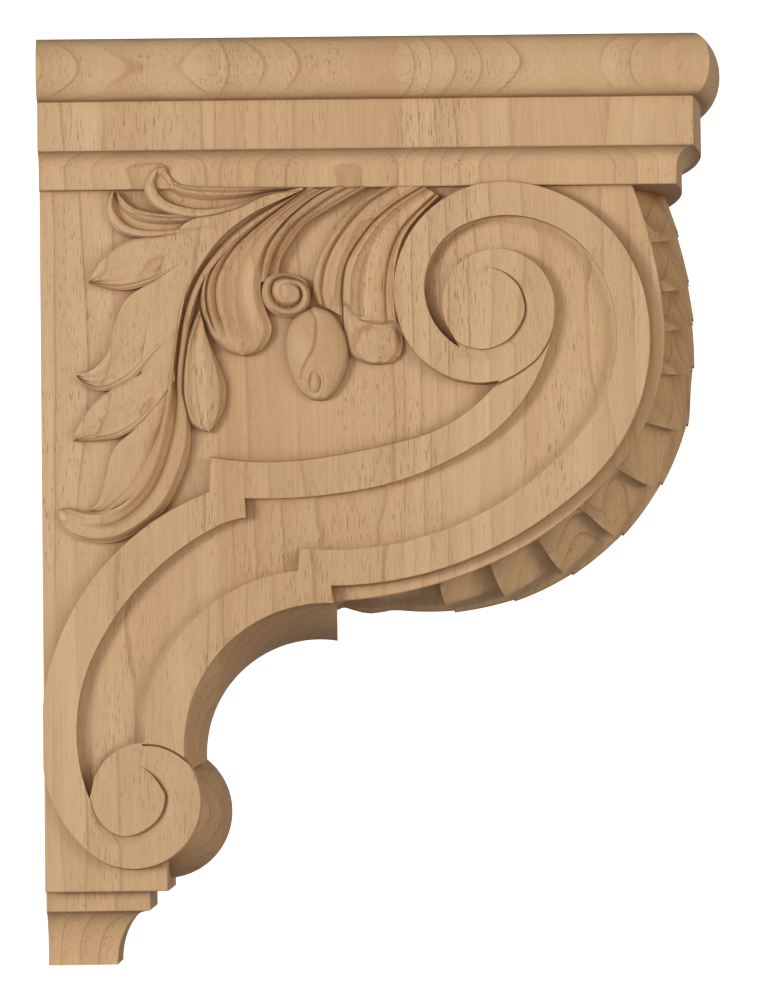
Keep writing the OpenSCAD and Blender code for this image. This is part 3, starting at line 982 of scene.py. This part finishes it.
@dataclass
class LeafSpray:
    """All of the leaves on one side."""

    leaves: list[Leaf] = field(default_factory=lambda: [
        Leaf("blade", 4.2, Section.LEVEL,
             [(99, 0), (84, -3.4), (70, -8.5), (55, -13), (48, -24), (43.5, -35), (40.5, -52),
              (38, -66), (38, -80)],
             [(99.5, -0.8), (79.1, -10.2), (65.6, -21.6), (54.6, -40.4), (51.1, -59.8), (48, -76),
              (45.5, -86)],
             Section.LEVEL, along=[(0, 1.0), (0.4, 1.0), (0.75, 0.88), (1, 0.62)]),
        Leaf("leaf_b", 3.2, Section.BLADE,
             [(47.5, -75), (37, -88.5), (27.5, -97.5), (24.5, -107.5), (21.5, -117), (18.5, -120)],
             [(50, -76), (44.5, -98), (37, -113.5), (24.5, -121.5), (18.5, -121)],
             Section.BLADE, level_to=0.4),
        Leaf("leaf_a", 3.7, Section.BLADE,
             [(49.5, -60.5), (37, -70), (23.5, -77.5), (15.5, -86.5), (12, -94)],
             [(50.5, -72), (39.5, -86.5), (30, -93), (21, -94.5), (12.5, -94.5)],
             Section.BLADE, level_to=0.4),
        Leaf("leaf_c", 4.2, Section.BLADE,
             [(56.5, -30.5), (45, -34), (33, -41), (28, -51.5), (25, -62), (19, -68), (13.5, -69.5)],
             [(52, -53), (43.5, -62), (34, -72), (23.5, -76), (16.5, -73.5), (13.5, -70)],
             Section.BLADE, level_to=0.4),
        Leaf("leaf_d", 4.6, Section.BLADE,
             [(66, -14), (46.5, -17.5), (33.5, -19.5), (24, -26), (18.5, -34.5)],
             [(59, -28), (52, -29.5), (42, -35.5), (30.5, -38), (18.5, -35)], Section.BLADE,
             along=[(0, 0.9), (0.3, 1.0), (0.85, 1.0), (1, 0.8)], level_to=0.45),
        Leaf("leaf_e", 5.0, Section.SCOOP,
             [(70, -9.5), (49.5, -9.5), (36, -7), (29.5, -1)],
             [(66, -15), (54.5, -17), (39, -18.5), (29.5, -15.5), (25.5, -7.5), (27.5, -0.5)],
             Section.SCOOP, along=[(0, 0.9), (0.6, 1.0), (1, 0.75)]),
        Leaf("leaf_f", 5.8, Section.SCOOP,
             [(98, 0), (85, 0), (70, 0.5), (53.5, 1.5), (48, 7.5)],
             [(98, -1.5), (85, -3), (73, -8.5), (57.5, -11.5), (44, -7.5), (39.5, 0.5), (42.5, 7.5),
              (46.5, 8.5)],
             Section.ROUND, (0.84, 1.0), [(0, 0.8), (0.5, 1.0), (1, 1.0)]),
        Leaf("leaf_h", 4.6, Section.TEAR,
             [(60, -45.5), (54.5, -59), (52.5, -76), (54.5, -85.5), (59, -90.5), (63, -91.5)],
             [(62, -53.5), (64.5, -60), (69, -72), (69.5, -78), (68, -85), (63.5, -92)]),
        Leaf("leaf_s", 5.2, Section.STEM,
             [(97.5, 0), (78.5, -9.5), (65, -21), (54, -40), (50.5, -59.5), (45.5, -88.5), (40, -107),
              (30.5, -118.5), (20, -121.5), (10, -119.5), (6.5, -120.5)],
             [(105, 0), (83.5, -13.5), (68.5, -27.5), (60.5, -38.5), (55.5, -57), (53.5, -76),
              (56, -88.5), (55, -102), (47, -119.5), (35, -129.5), (23.5, -133), (11, -130),
              (6, -122.5)],
             Section.ROUND, (0.82, 0.97), [(0, 0.7), (0.4, 0.95), (0.9, 1.0), (1, 0.7)], 90, 22),
        Leaf("leaf_g", 5.8, Section.RIDGED,
             [(98, -1), (81.5, -12.5), (68.5, -23), (61.5, -33.5), (60.5, -44), (63.5, -53.5),
              (66.8, -58.3), (70.4, -61.4), (74.5, -62.9)],
             [(111, 0), (103.5, -4), (93.5, -12.5), (86, -23), (83, -36.5), (84.8, -46), (87, -52.5),
              (85.5, -58), (81.5, -62), (77, -63.2)],
             Section.ROUND, (0.74, 0.93), [(0, 0.8), (0.5, 0.95), (0.88, 1.05), (1, 0.7)], 60, 28),
        Leaf("leaf_i", 4.9, Section.BAND,
             [(111, 0), (103.5, -4), (93.5, -12.5), (86, -23), (83, -35.5)],
             [(123.5, 0), (110.5, -7.5), (100, -14), (93.5, -22.5), (90.5, -28.5), (90, -34)],
             Section.BAND),
        Leaf("leaf_k", 4.3, Section.VEINED,
             [(129.5, 0), (120.5, -5.5), (112, -15), (107, -23), (104, -30.5), (103, -38),
              (104.5, -43.5)],
             [(145, 0), (135, -6), (126, -13.5), (118.5, -23.5), (115, -31.5), (114, -39.5),
              (113.5, -48.5)],
             Section.VEINED),
        Leaf("leaf_l", 5.6, Section.FLUTED,
             [(145, 0), (135, -6), (126, -13.5), (118.5, -23.5), (115, -31.5), (114, -42.5),
              (114.6, -55.5), (115.4, -61), (118.5, -64.6), (123, -66.6)],
             [(151, -4), (140, -16.5), (136, -28), (135.5, -43), (136.2, -57), (135.6, -62.4),
              (132.3, -66), (127, -67.1)],
             Section.ROUND, (0.705, 0.73), [(0, 0.8), (0.5, 1.0), (0.715, 1.02), (0.73, 0.5),
                                            (0.8, 0.72),
                                           (0.88, 0.86), (0.95, 0.76), (1, 0.45)], 110, 24,
             fold=[(0, -0.045), (0.3, 0.012), (0.62, 0.012), (0.82, -0.01), (1, 0.02)]),
    ])
    bosses: list[Boss] = field(default_factory=lambda: [
        Bud("bud", 7.2,
            [(103.3, -44.6), (97.8, -47), (93.9, -51.4), (92.4, -58), (93.2, -66.3), (96.4, -74.6),
             (100.7, -79.1), (104.6, -80.3), (108.4, -79.2), (112.4, -74.2), (115.3, -67.5),
             (115.6, -60), (113.4, -52.7), (109.4, -47)],
            (104, -62.5), 0.22, 44, 140),
        Curl("curl", 5.4,
             [(95.0 + r * math.cos(math.radians(a)), -39.2 + r * math.sin(math.radians(a)))
              for a, r in zip(range(0, 360, 30),
                              (7.0, 6.4, 6.0, 6.2, 8.2, 10.8, 11.5, 11.3, 10.4, 9.7, 8.9, 7.9))],
             (95.0, -39.2), 0.5, 34, 84),
    ])

    def build(self, side: Side) -> list[bpy.types.Object]:
        """Carve every leaf and knob of one side.

        Args:
            side: Side of the bracket they lie on.

        Returns:
            The shapes, to be joined to the body in order.
        """
        return [leaf.build(side) for leaf in self.leaves] + [boss.build(side) for boss in self.bosses]


# ---- front leaf ------------------------------------------------------------------------------


@dataclass(frozen=True)
class Wave:
    """A soft ridge or hollow across a lobe, whose place moves as it runs down the lobe."""

    rise: float
    at: float
    shift: float
    reach: float

    def over(self, u: np.ndarray, share: float) -> np.ndarray:
        """Find its height.

        Args:
            u: Share of the way from the rib to the leaf's edge.
            share: Share of the way down the lobe.

        Returns:
            The heights in millimetres.
        """
        return self.rise * bell(u, self.at + self.shift * share, self.reach)


@dataclass
class FrontLeaf:
    """The long leaf down the front: a rib, and overlapping lobes on both sides of it.

    `crown` holds the x and z of the centre the leaf bends round, and its radius. Pairs say where
    something starts and where it is complete: as shares of the way from the rib to the edge or down a
    lobe, but `rib_top` and `rib_foot` in millimetres from the middle, and `calm` and `curl` in
    millimetres up from the tip.
    """

    crown: Triple = (148, -58, 99.6)
    swell: float = 17.5
    half_w: float = 40.0
    lean_back: float = 10.0
    belly: tuple[Pair, ...] = ((-212, 0), (-160, 1.0), (-125, 1.5), (-90, 1.65), (-72, 0))
    top_z: float = 3.0
    inner_r: float = 60.0
    lobe_ends: tuple[float, ...] = (-23, -42, -57, -75, -97, -121, -145, -169, -193, -216, -243)
    slant: float = 12.0
    slant_from: Pair = (0.0, 0.35)
    slant_at_rib: float = 0.75
    rib_rise: float = 1.6
    rib_top: Pair = (4.3, 7.1)
    rib_foot: Pair = (5.5, 9.5)
    rib_step: float = 0.7
    lobe_step: float = 6.5
    lobe_grows: Pair = (0.15, 0.6)
    lobe_least: float = 0.35
    droop: float = 0.5
    droop_across: Pair = (0.45, 0.85)
    droop_down: Pair = (0.72, 1.0)
    bowl: Wave = Wave(-4.4, 0.74, -0.08, 0.14)
    fold: Wave = Wave(2.0, 0.4, 0.16, 0.08)
    point: Wave = Wave(1.5, 0.56, 0.0, 0.14)
    undercut: float = 1.0
    undercut_from: Pair = (0.1, 0.4)
    scallop: float = 8.0
    scallop_start: float = 0.12
    edge_drop: float = 6.0
    edge_soft: Pair = (-0.1, 0.04)
    calm: Pair = (0.0, 14.0)
    calm_least: float = 0.35
    curl: Pair = (2.0, 15.0)
    tip_curl: float = 3.4
    tip_point: float = 3.0
    rows: int = 13
    cols: int = 81

    def spot(self, way: np.ndarray, y: np.ndarray, radius: np.ndarray) -> np.ndarray:
        """Place points on the leaf.

        Args:
            way: Distance down the leaf, from the pattern's zero at the cap.
            y: Distance from the middle.
            radius: Distance from the crown's centre, or from its upright above it.

        Returns:
            Their x, y and z.
        """
        x0, z0, r0 = self.crown
        turn = np.maximum(0, z0 - way) / r0
        x = x0 + radius * np.cos(turn) - self.lean_back * (np.maximum(0, way - z0) / -z0) ** 2
        z = np.where(way > z0, way, z0 - radius * np.sin(turn))
        return np.stack([x, y, z], axis=-1)

    def height(self, way: np.ndarray, y: np.ndarray, share: float) -> np.ndarray:
        """Find the radius of the leaf's face.

        Args:
            way: Distance down the leaf.
            y: Distance from the middle.
            share: Share of the way down the lobe.

        Returns:
            The radii.
        """
        u, off = np.abs(y) / self.half_w, np.abs(y)
        round_r = (self.half_w ** 2 + self.swell ** 2) / (2 * self.swell)
        base = self.crown[2] + soft_profile(self.belly, way)
        base = base - (round_r - np.sqrt(round_r ** 2 - y ** 2))
        rib = self.rib_rise * (1 - ease(*self.rib_top, off))
        beside = ease(*self.rib_foot, off)
        grown = self.lobe_least + (1 - self.lobe_least) * ease(*self.lobe_grows, u)
        lift = self.lobe_step * (share ** 1.6 - 0.55) * beside * grown
        lift = lift * (1 - self.droop * ease(*self.droop_across, u) * ease(*self.droop_down, share))
        lift = lift + self.rib_step * (share ** 1.5 - 0.6) * (1 - 0.6 * beside)
        lift = lift + self.bowl.over(u, share) * math.sin(math.pi * share ** 0.7)
        lift = lift + self.fold.over(u, share) * math.sin(math.pi * share ** 1.4)
        lift = lift + self.point.over(u, share) * share ** 3
        bulge = math.sin(math.pi * (self.scallop_start + (1 - self.scallop_start) * share) ** 0.9)
        reach = 1 - (self.scallop / self.half_w) * (1 - bulge)
        edge = self.edge_drop * ease(reach + self.edge_soft[0], reach + self.edge_soft[1], u)
        up = way - self.lobe_ends[-1]
        calm = self.calm_least + (1 - self.calm_least) * ease(*self.calm, up)
        curl = self.tip_curl * (1 - ease(*self.curl, up)) * (1 - u ** 2)
        return base + rib + lift * calm - edge + curl

    def bounds(self, u: np.ndarray) -> list[np.ndarray]:
        """Lay out where the lobes start and end.

        Args:
            u: Share of the way from the rib to the leaf's edge, for every column.

        Returns:
            The distances down the leaf, the top of the first lobe first.
        """
        away = ease(*self.slant_from, u)
        lean = self.slant * ((u - 1) * away - self.slant_at_rib * (1 - away))
        ends = [end - lean for end in self.lobe_ends]
        ends[-1] = self.lobe_ends[-1] + lean / 4 - self.tip_point * (1 - u ** 2)
        return [np.minimum(end, self.top_z) for end in (np.full(self.cols, self.top_z), *ends)]

    def build(self) -> bpy.types.Object:
        """Carve the leaf from under the cap down to its curled tip.

        Returns:
            The leaf, with a back that lies inside the block.
        """
        y = np.linspace(-self.half_w, self.half_w, self.cols)
        u = np.abs(y) / self.half_w
        bounds = self.bounds(u)
        face, back = [], []
        for lobe, (above, below) in enumerate(zip(bounds, bounds[1:])):
            for share in np.linspace(0, 1, self.rows):
                way = above * (1 - share) + below * share
                if lobe and not share:
                    way = way + self.undercut * ease(*self.undercut_from, u)
                face.append(self.spot(way, y, self.height(way, y, share)))
                back.append(self.spot(way, y, np.full(self.cols, self.inner_r)))
        return carved_sheet("front_leaf", np.array(face), np.array(back))


# ---- wood ------------------------------------------------------------------------------------


Value = float | tuple | bpy.types.NodeSocket


@dataclass
class Graph:
    """A node tree, with the few steps that its finish is wired up from."""

    tree: bpy.types.NodeTree

    def fill(self, node: bpy.types.Node, inputs: dict[str | int, Value]) -> None:
        """Fill the inputs of a node.

        Args:
            node: The node.
            inputs: A value, or the socket to link from, for each input.
        """
        for key, value in inputs.items():
            if isinstance(value, bpy.types.NodeSocket):
                self.tree.links.new(value, node.inputs[key])
            else:
                node.inputs[key].default_value = value

    def add(self, kind: str, inputs: dict[str | int, Value], **options: object) -> bpy.types.Node:
        """Add a node.

        Args:
            kind: Its type.
            inputs: A value, or the socket to link from, for each input.
            options: Its other settings.

        Returns:
            The node.
        """
        node = self.tree.nodes.new(kind)
        for key, value in options.items():
            setattr(node, key, value)
        self.fill(node, inputs)
        return node

    def work_out(self, operation: str, *terms: Value) -> bpy.types.NodeSocket:
        """Join values with one arithmetic step.

        Args:
            operation: The step.
            terms: Its numbers or sockets, in order.

        Returns:
            The result.
        """
        return self.add("ShaderNodeMath", dict(enumerate(terms)), operation=operation).outputs[0]

    def times(self, value: Value, by: Value) -> bpy.types.NodeSocket:
        """Multiply two values."""
        return self.work_out("MULTIPLY", value, by)

    def less(self, value: Value, by: Value) -> bpy.types.NodeSocket:
        """Take one value from another."""
        return self.work_out("SUBTRACT", value, by)

    def centred(self, share: bpy.types.NodeSocket, spread: float) -> bpy.types.NodeSocket:
        """Turn a share into a value that varies about nothing, over the whole of a spread."""
        return self.times(self.less(share, 0.5), spread)

    def window(self, value: bpy.types.NodeSocket, low: float, high: float,
               top: float = 1.0) -> bpy.types.NodeSocket:
        """Turn a value into a share that eases in between two limits.

        Args:
            value: The value.
            low: The limit below which the share is nothing.
            high: The limit above which it is full.
            top: The full share.

        Returns:
            The share.
        """
        limits = {"Value": value, "From Min": low, "From Max": high, "To Max": top}
        return self.add("ShaderNodeMapRange", limits, interpolation_type="SMOOTHSTEP").outputs["Result"]

    def band(self, value: bpy.types.NodeSocket, rise: Pair, fall: Pair) -> bpy.types.NodeSocket:
        """Turn a value into a share that eases in between two limits and out between two others."""
        return self.times(self.window(value, *rise), self.less(1.0, self.window(value, *fall)))

    def blend(self, low: Value, high: Triple, share: bpy.types.NodeSocket) -> bpy.types.NodeSocket:
        """Blend two colours.

        Args:
            low: The colour where the share is nothing.
            high: The colour where the share is full.
            share: The share.

        Returns:
            The blended colour.
        """
        start = (*low, 1) if isinstance(low, tuple) else low
        inputs = {"Factor": share, "A": start, "B": (*high, 1)}
        return self.add("ShaderNodeMix", inputs, data_type="RGBA").outputs["Result"]


@dataclass(frozen=True)
class Grain:
    """Noise drawn out along the grain: how much finer it is across, and how busy it is."""

    along: float
    scale: float
    detail: float
    rough: float

    def read(self, graph: Graph, place: bpy.types.NodeSocket) -> bpy.types.NodeSocket:
        """Read the noise.

        Args:
            graph: The finish being wired up.
            place: Where to read it.

        Returns:
            The noise, as a share.
        """
        drawn = graph.add("ShaderNodeMapping", {"Scale": (1, 1, self.along), "Vector": place})
        noise = graph.add("ShaderNodeTexNoise", {"Scale": self.scale, "Detail": self.detail,
                                                 "Roughness": self.rough, "Vector": drawn.outputs[0]})
        return noise.outputs["Fac"]


@dataclass(frozen=True)
class Wood:
    """Bare pale hardwood glued up from upright staves, sanded to a satin finish.

    Joints are in millimetres from the wall, and hearts are shares of the cap's reach. `heart_y`, the
    gaps and sway of the rings, the reach of the painted shade in the hollows and the depth of the grain
    are in metres.
    """

    stave_joints: tuple[float, ...] = (0.0, 65.0, 135.0, 239.0)
    stave_tones: tuple[float, ...] = (0.55, 0.38, 0.62, 0.45)
    stave_hearts: tuple[float, ...] = (0.16, 0.45, 0.78, 0.99)
    stave_shift: Pair = (3.1, 1.7)
    heart_y: float = -0.008
    ring_gap: float = 0.0056
    wide_gap: float = 0.0171
    ring_sway: float = 0.012
    sway: Grain = Grain(0.22, 26, 2, 0.5)
    cloud: Grain = Grain(0.15, 38, 4, 0.55)
    streak: Grain = Grain(0.025, 1100, 3, 0.65)
    fine: Grain = Grain(0.035, 2900, 2, 0.6)
    pores: Grain = Grain(0.08, 2500, 1, 0.45)
    patch: Grain = Grain(0.3, 30, 3, 0.6)
    pale: Triple = (0.70, 0.49, 0.285)
    deep: Triple = (0.53, 0.325, 0.165)
    late: Triple = (0.40, 0.225, 0.115)
    pore: Triple = (0.22, 0.105, 0.05)
    # hollow: colour of the painted shade in carved hollows, which also stands for a little dust and
    # burnish
    hollow: Triple = (0.30, 0.13, 0.05)
    end_grain: Triple = (0.33, 0.215, 0.13)
    ring_strength: float = 0.12
    pore_strength: float = 0.75
    # How far the ambient occlusion looks when it paints shade into the hollows, in metres
    hollow_shade_and_dust_reach: float = 0.009
    sheen: float = 0.2
    grain_depth: float = 0.0002
    grain_strength: float = 0.35

    def staves(self) -> bpy.types.NodeTree:
        """Build the node group that tells the staves apart.

        Returns:
            A group that gives the tone of a stave, and where its heart lies.
        """
        group = bpy.data.node_groups.new("staves", "ShaderNodeTree")
        group.interface.new_socket("Place", in_out="INPUT", socket_type="NodeSocketVector")
        group.interface.new_socket("Tone", in_out="OUTPUT", socket_type="NodeSocketFloat")
        group.interface.new_socket("Heart", in_out="OUTPUT", socket_type="NodeSocketFloat")
        graph = Graph(group)
        place = graph.add("NodeGroupInput", {}).outputs["Place"]
        from_wall = graph.add("ShaderNodeSeparateXYZ", {0: place}).outputs["X"]
        ramp = graph.add("ShaderNodeValToRGB", {
            "Fac": graph.work_out("DIVIDE", from_wall, BLOCK.cap_projection * MM)})
        ramp.color_ramp.interpolation = "CONSTANT"
        stops = ramp.color_ramp.elements
        while len(stops) < len(self.stave_joints):
            stops.new(0.5)
        staves = zip(stops, self.stave_joints, self.stave_tones, self.stave_hearts)
        for stop, joint, tone, heart in staves:
            stop.position = joint / BLOCK.cap_projection
            stop.color = (tone, heart, 0, 1)
        split = graph.add("ShaderNodeSeparateColor", {0: ramp.outputs["Color"]})
        graph.add("NodeGroupOutput", {"Tone": split.outputs["Red"], "Heart": split.outputs["Green"]})
        return group

    def rings(self, graph: Graph, place: bpy.types.NodeSocket, own: bpy.types.NodeSocket,
              heart: bpy.types.NodeSocket) -> bpy.types.NodeSocket:
        """Measure how far each point lies from the heart of its stave.

        Args:
            graph: The finish being wired up.
            place: Place on the bracket.
            own: Place shifted for the stave.
            heart: Where the heart of the stave lies.

        Returns:
            The distance in metres, with the sway of the rings.
        """
        split = graph.add("ShaderNodeSeparateXYZ", {0: place})
        across_x = graph.less(split.outputs["X"], graph.times(heart, BLOCK.cap_projection * MM))
        across_y = graph.less(split.outputs["Y"], self.heart_y)
        squares = [graph.times(across, across) for across in (across_x, across_y)]
        sway = graph.centred(self.sway.read(graph, own), self.ring_sway)
        return graph.work_out("ADD", graph.work_out("SQRT", graph.work_out("ADD", *squares)), sway)

    def material(self) -> bpy.types.Material:
        """Build the finish.

        Returns:
            The material.
        """
        material = bpy.data.materials.new("bare_hardwood")
        material.use_nodes = True
        graph = Graph(material.node_tree)
        place = graph.add("ShaderNodeTexCoord", {}).outputs["Object"]
        staves = graph.add("ShaderNodeGroup", {"Place": place}, node_tree=self.staves())
        tone, heart = staves.outputs["Tone"], staves.outputs["Heart"]

        # Each stave has its own heart and its own run of the grain.
        shift = graph.add("ShaderNodeCombineXYZ", {"X": graph.times(heart, self.stave_shift[0]),
                                                   "Z": graph.times(heart, self.stave_shift[1])})
        moved = graph.add("ShaderNodeVectorMath", {0: place, 1: shift.outputs[0]}, operation="ADD")
        own = moved.outputs[0]
        ring = self.rings(graph, place, own, heart)
        turns = graph.work_out("FRACT", graph.times(ring, 1 / self.ring_gap))
        wide = graph.work_out("FRACT", graph.times(ring, 1 / self.wide_gap))
        grains = (self.cloud, self.streak, self.fine, self.pores, self.patch)
        cloud, streak, fine, pores, patch = (grain.read(graph, own) for grain in grains)

        share = graph.work_out("MULTIPLY_ADD", tone, 0.9, 0.12)
        for noise, spread in ((cloud, 1.1), (streak, 0.9), (fine, 0.5)):
            share = graph.work_out("ADD", share, graph.centred(noise, spread))
        colour = graph.blend(self.deep, self.pale, share)
        early = graph.band(turns, (0.25, 0.93), (0.93, 1.0))
        colour = graph.blend(colour, self.late, graph.times(early, self.ring_strength))
        line = graph.band(turns, (0.84, 0.95), (0.955, 1.0))
        colour = graph.blend(colour, self.late, graph.times(line, graph.window(patch, 0.34, 0.58, 0.6)))
        wide_band = graph.band(wide, (0.1, 0.85), (0.88, 1.0))
        colour = graph.blend(colour, self.late, graph.times(wide_band, self.ring_strength))
        open_pores = graph.times(graph.window(pores, 0.6, 0.7), graph.window(patch, 0.34, 0.66, 0.95))
        colour = graph.blend(colour, self.pore, graph.times(open_pores, self.pore_strength))

        # Painted shade: ambient occlusion darkens the carved hollows where shade falls in them,
        # together with the burnish and a little dust that they keep.
        hollow_shade_and_dust = graph.add("ShaderNodeAmbientOcclusion", {"Distance": self.hollow_shade_and_dust_reach},
                            samples=8, only_local=True)
        sunk = graph.less(1.0, hollow_shade_and_dust.outputs["AO"])
        colour = graph.blend(colour, self.hollow, graph.window(sunk, 0.1, 0.8, 0.75))

        # End grain shows greyer and darker on faces that look up or down.
        facing = graph.add("ShaderNodeNewGeometry", {}).outputs["Normal"]
        normal = graph.add("ShaderNodeSeparateXYZ", {0: facing})
        upright = graph.window(graph.work_out("ABSOLUTE", normal.outputs["Z"]), 0.45, 1.0, 0.5)
        colour = graph.blend(colour, self.end_grain, upright)

        rough = graph.work_out("MULTIPLY_ADD", graph.work_out("ADD", open_pores, streak), 0.14, 0.44)
        relief = graph.less(graph.times(streak, 0.5), open_pores)
        bump = graph.add("ShaderNodeBump", {"Strength": self.grain_strength,
                                            "Distance": self.grain_depth, "Height": relief})
        graph.fill(material.node_tree.nodes["Principled BSDF"], {
            "Base Color": colour, "Roughness": rough, "Specular IOR Level": self.sheen,
            "Normal": bump.outputs[0]})
        return material


# ---- the whole corbel ------------------------------------------------------------------------


@dataclass
class Corbel:
    """The finished bracket: every carved part worked into one block of wood.

    Edges sharper than `crease` degrees stay crisp. Faces that look squarely to the side count as flat,
    and keep their own shading where they meet others at more than `flat_crease` radians.
    """

    body: Body = field(default_factory=Body)
    cap: Cap = field(default_factory=Cap)
    base: Base = field(default_factory=Base)
    scroll: Scroll = field(default_factory=Scroll)
    spray: LeafSpray = field(default_factory=LeafSpray)
    front: FrontLeaf = field(default_factory=FrontLeaf)
    finish: Wood = field(default_factory=Wood)
    crease: float = 27.0
    flat: float = 0.99999
    flat_crease: float = 0.02
    flat_weight: int = 80

    def build(self) -> bpy.types.Object:
        """Carve the bracket.

        Returns:
            The one finished piece.
        """
        carving = self.body.build()
        carving.name = "corbel_carving"
        work_in(carving, [self.front.build(), self.cap.build(), self.base.build()], Cut.ADD)
        LOG.info("block, cap, base and front leaf joined: %d faces", len(carving.data.polygons))
        for side in Side:
            work_in(carving, [self.scroll.build(side), *self.spray.build(side)], Cut.ADD)
            LOG.info("%s side carved: %d faces", side.name.lower(), len(carving.data.polygons))
        return carving

    def dress(self, carving: bpy.types.Object) -> None:
        """Shade the carving and give it its finish.

        Args:
            carving: The finished piece.
        """
        carving.data.shade_smooth()
        carving.data.set_sharp_from_angle(angle=math.radians(self.crease))
        work = bmesh.new()
        work.from_mesh(carving.data)
        for edge in work.edges:
            flat = [abs(face.normal.y) > self.flat for face in edge.link_faces]
            if flat[0] != flat[-1] and edge.calc_face_angle(0.0) > self.flat_crease:
                edge.smooth = False
        work.to_mesh(carving.data)
        work.free()
        weigh = carving.modifiers.new("flat_faces_first", "WEIGHTED_NORMAL")
        weigh.keep_sharp = True
        weigh.weight = self.flat_weight
        settle(carving)
        carving.data.materials.clear()
        carving.data.materials.append(self.finish.material())


# ---- studio ----------------------------------------------------------------------------------


@dataclass(frozen=True)
class Lamp:
    """One soft light with a square face, its power in watts."""

    name: str
    at: Triple
    power: float
    colour: Triple = (1.0, 1.0, 1.0)
    size: float = 1.0
    aim: Triple = (0.11, 0.0, -0.02)

    def hang(self) -> None:
        """Hang the light and turn it to the bracket."""
        data = bpy.data.lights.new(self.name, "AREA")
        data.shape = "SQUARE"
        data.size = self.size
        data.energy = self.power
        data.color = self.colour
        obj = bpy.data.objects.new(self.name, data)
        obj.location = self.at
        obj.rotation_euler = (Vector(self.aim) - Vector(self.at)).to_track_quat("-Z", "Y").to_euler()
        bpy.context.scene.collection.objects.link(obj)


@dataclass
class Studio:
    """Pale floor and backdrop, soft lights and the camera.

    The camera's `rise`, `turn` and `roll` are in degrees. Lengths are in metres, but those of the lens
    and its sensor are in millimetres.
    """

    camera_at: Triple = (0.11085, -1.8625, -0.09755)
    rise: float = 3.0659
    turn: float = -0.5032
    roll: float = -0.6869
    lens: float = 229.8
    sensor: float = 36.0
    far: float = 20.0
    floor_gap: float = 0.0005
    floor_fore: float = -4.0
    floor_deep: float = 1.6
    floor_bend: float = 1.2
    floor_half_w: float = 6.0
    backdrop_high: float = 4.0
    room: float = 0.15
    lamps: tuple[Lamp, ...] = (
        Lamp("key", (-2.2, -2.2, 0.1), 72),
        Lamp("front", (-0.3, -2.6, -0.2), 18),
        Lamp("fill", (1.6, -1.2, -0.1), 19, (1.0, 0.84, 0.66)))

    def camera(self) -> None:
        """Set the camera up a little below the middle of the bracket, looking slightly up."""
        data = bpy.data.cameras.new("camera")
        data.sensor_fit = "HORIZONTAL"
        data.sensor_width = self.sensor
        data.lens = self.lens
        data.clip_end = self.far
        obj = bpy.data.objects.new("camera", data)
        obj.location = self.camera_at
        aim = Euler((math.radians(90 + self.rise), 0, math.radians(self.turn))).to_matrix()
        obj.rotation_euler = (aim @ Euler((0, 0, math.radians(self.roll))).to_matrix()).to_euler()
        bpy.context.scene.collection.objects.link(obj)
        bpy.context.scene.camera = obj

    def paper(self) -> bpy.types.Material:
        """Build the finish of the backdrop, which glows white only where the camera sees it.

        Returns:
            The material.
        """
        paper = bpy.data.materials.new("pale_paper")
        paper.use_nodes = True
        graph = Graph(paper.node_tree)
        seen = graph.add("ShaderNodeLightPath", {}).outputs["Is Camera Ray"]
        graph.fill(paper.node_tree.nodes["Principled BSDF"], {
            "Base Color": (0.88, 0.88, 0.88, 1), "Roughness": 0.9,
            "Emission Color": (1, 1, 1, 1), "Emission Strength": seen})
        return paper

    def backdrop(self) -> None:
        """Lay a pale floor that sweeps up behind the bracket."""
        foot, bend, deep = CAD_BOX[0][2] - self.floor_gap, self.floor_bend, self.floor_deep
        path = [(self.floor_fore, foot)]
        path += [(deep + bend * math.sin(a), foot + bend * (1 - math.cos(a)))
                 for a in np.radians(range(0, 91, 6))]
        path.append((deep + bend, foot + self.backdrop_high))
        points = [(x, y, z) for y, z in path for x in (-self.floor_half_w, self.floor_half_w)]
        faces = [(2 * i, 2 * i + 1, 2 * i + 3, 2 * i + 2) for i in range(len(path) - 1)]
        mesh = bpy.data.meshes.new("floor")
        mesh.from_pydata(points, [], faces)
        mesh.shade_smooth()
        mesh.materials.append(self.paper())
        floor = bpy.data.objects.new("floor", mesh)
        bpy.context.scene.collection.objects.link(floor)

    def build(self) -> None:
        """Set up the whole studio."""
        self.backdrop()
        for lamp in self.lamps:
            lamp.hang()
        world = bpy.data.worlds.new("soft_room")
        world.use_nodes = True
        Graph(world.node_tree).fill(world.node_tree.nodes["Background"], {
            "Color": (1, 1, 1, 1), "Strength": self.room})
        bpy.context.scene.world = world
        bpy.context.scene.view_settings.view_transform = "Standard"
        self.camera()


def main() -> None:
    """Build the bracket and the studio."""
    logging.basicConfig(level=logging.INFO, format="%(name)s: %(message)s")
    corbel = Corbel()
    carving = corbel.build()
    corbel.dress(carving)
    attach(carving, "root")
    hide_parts("corbel")
    LOG.info("%s: %d faces", carving.name, len(carving.data.polygons))
    Studio().build()


if __name__ == "__main__":
    main()
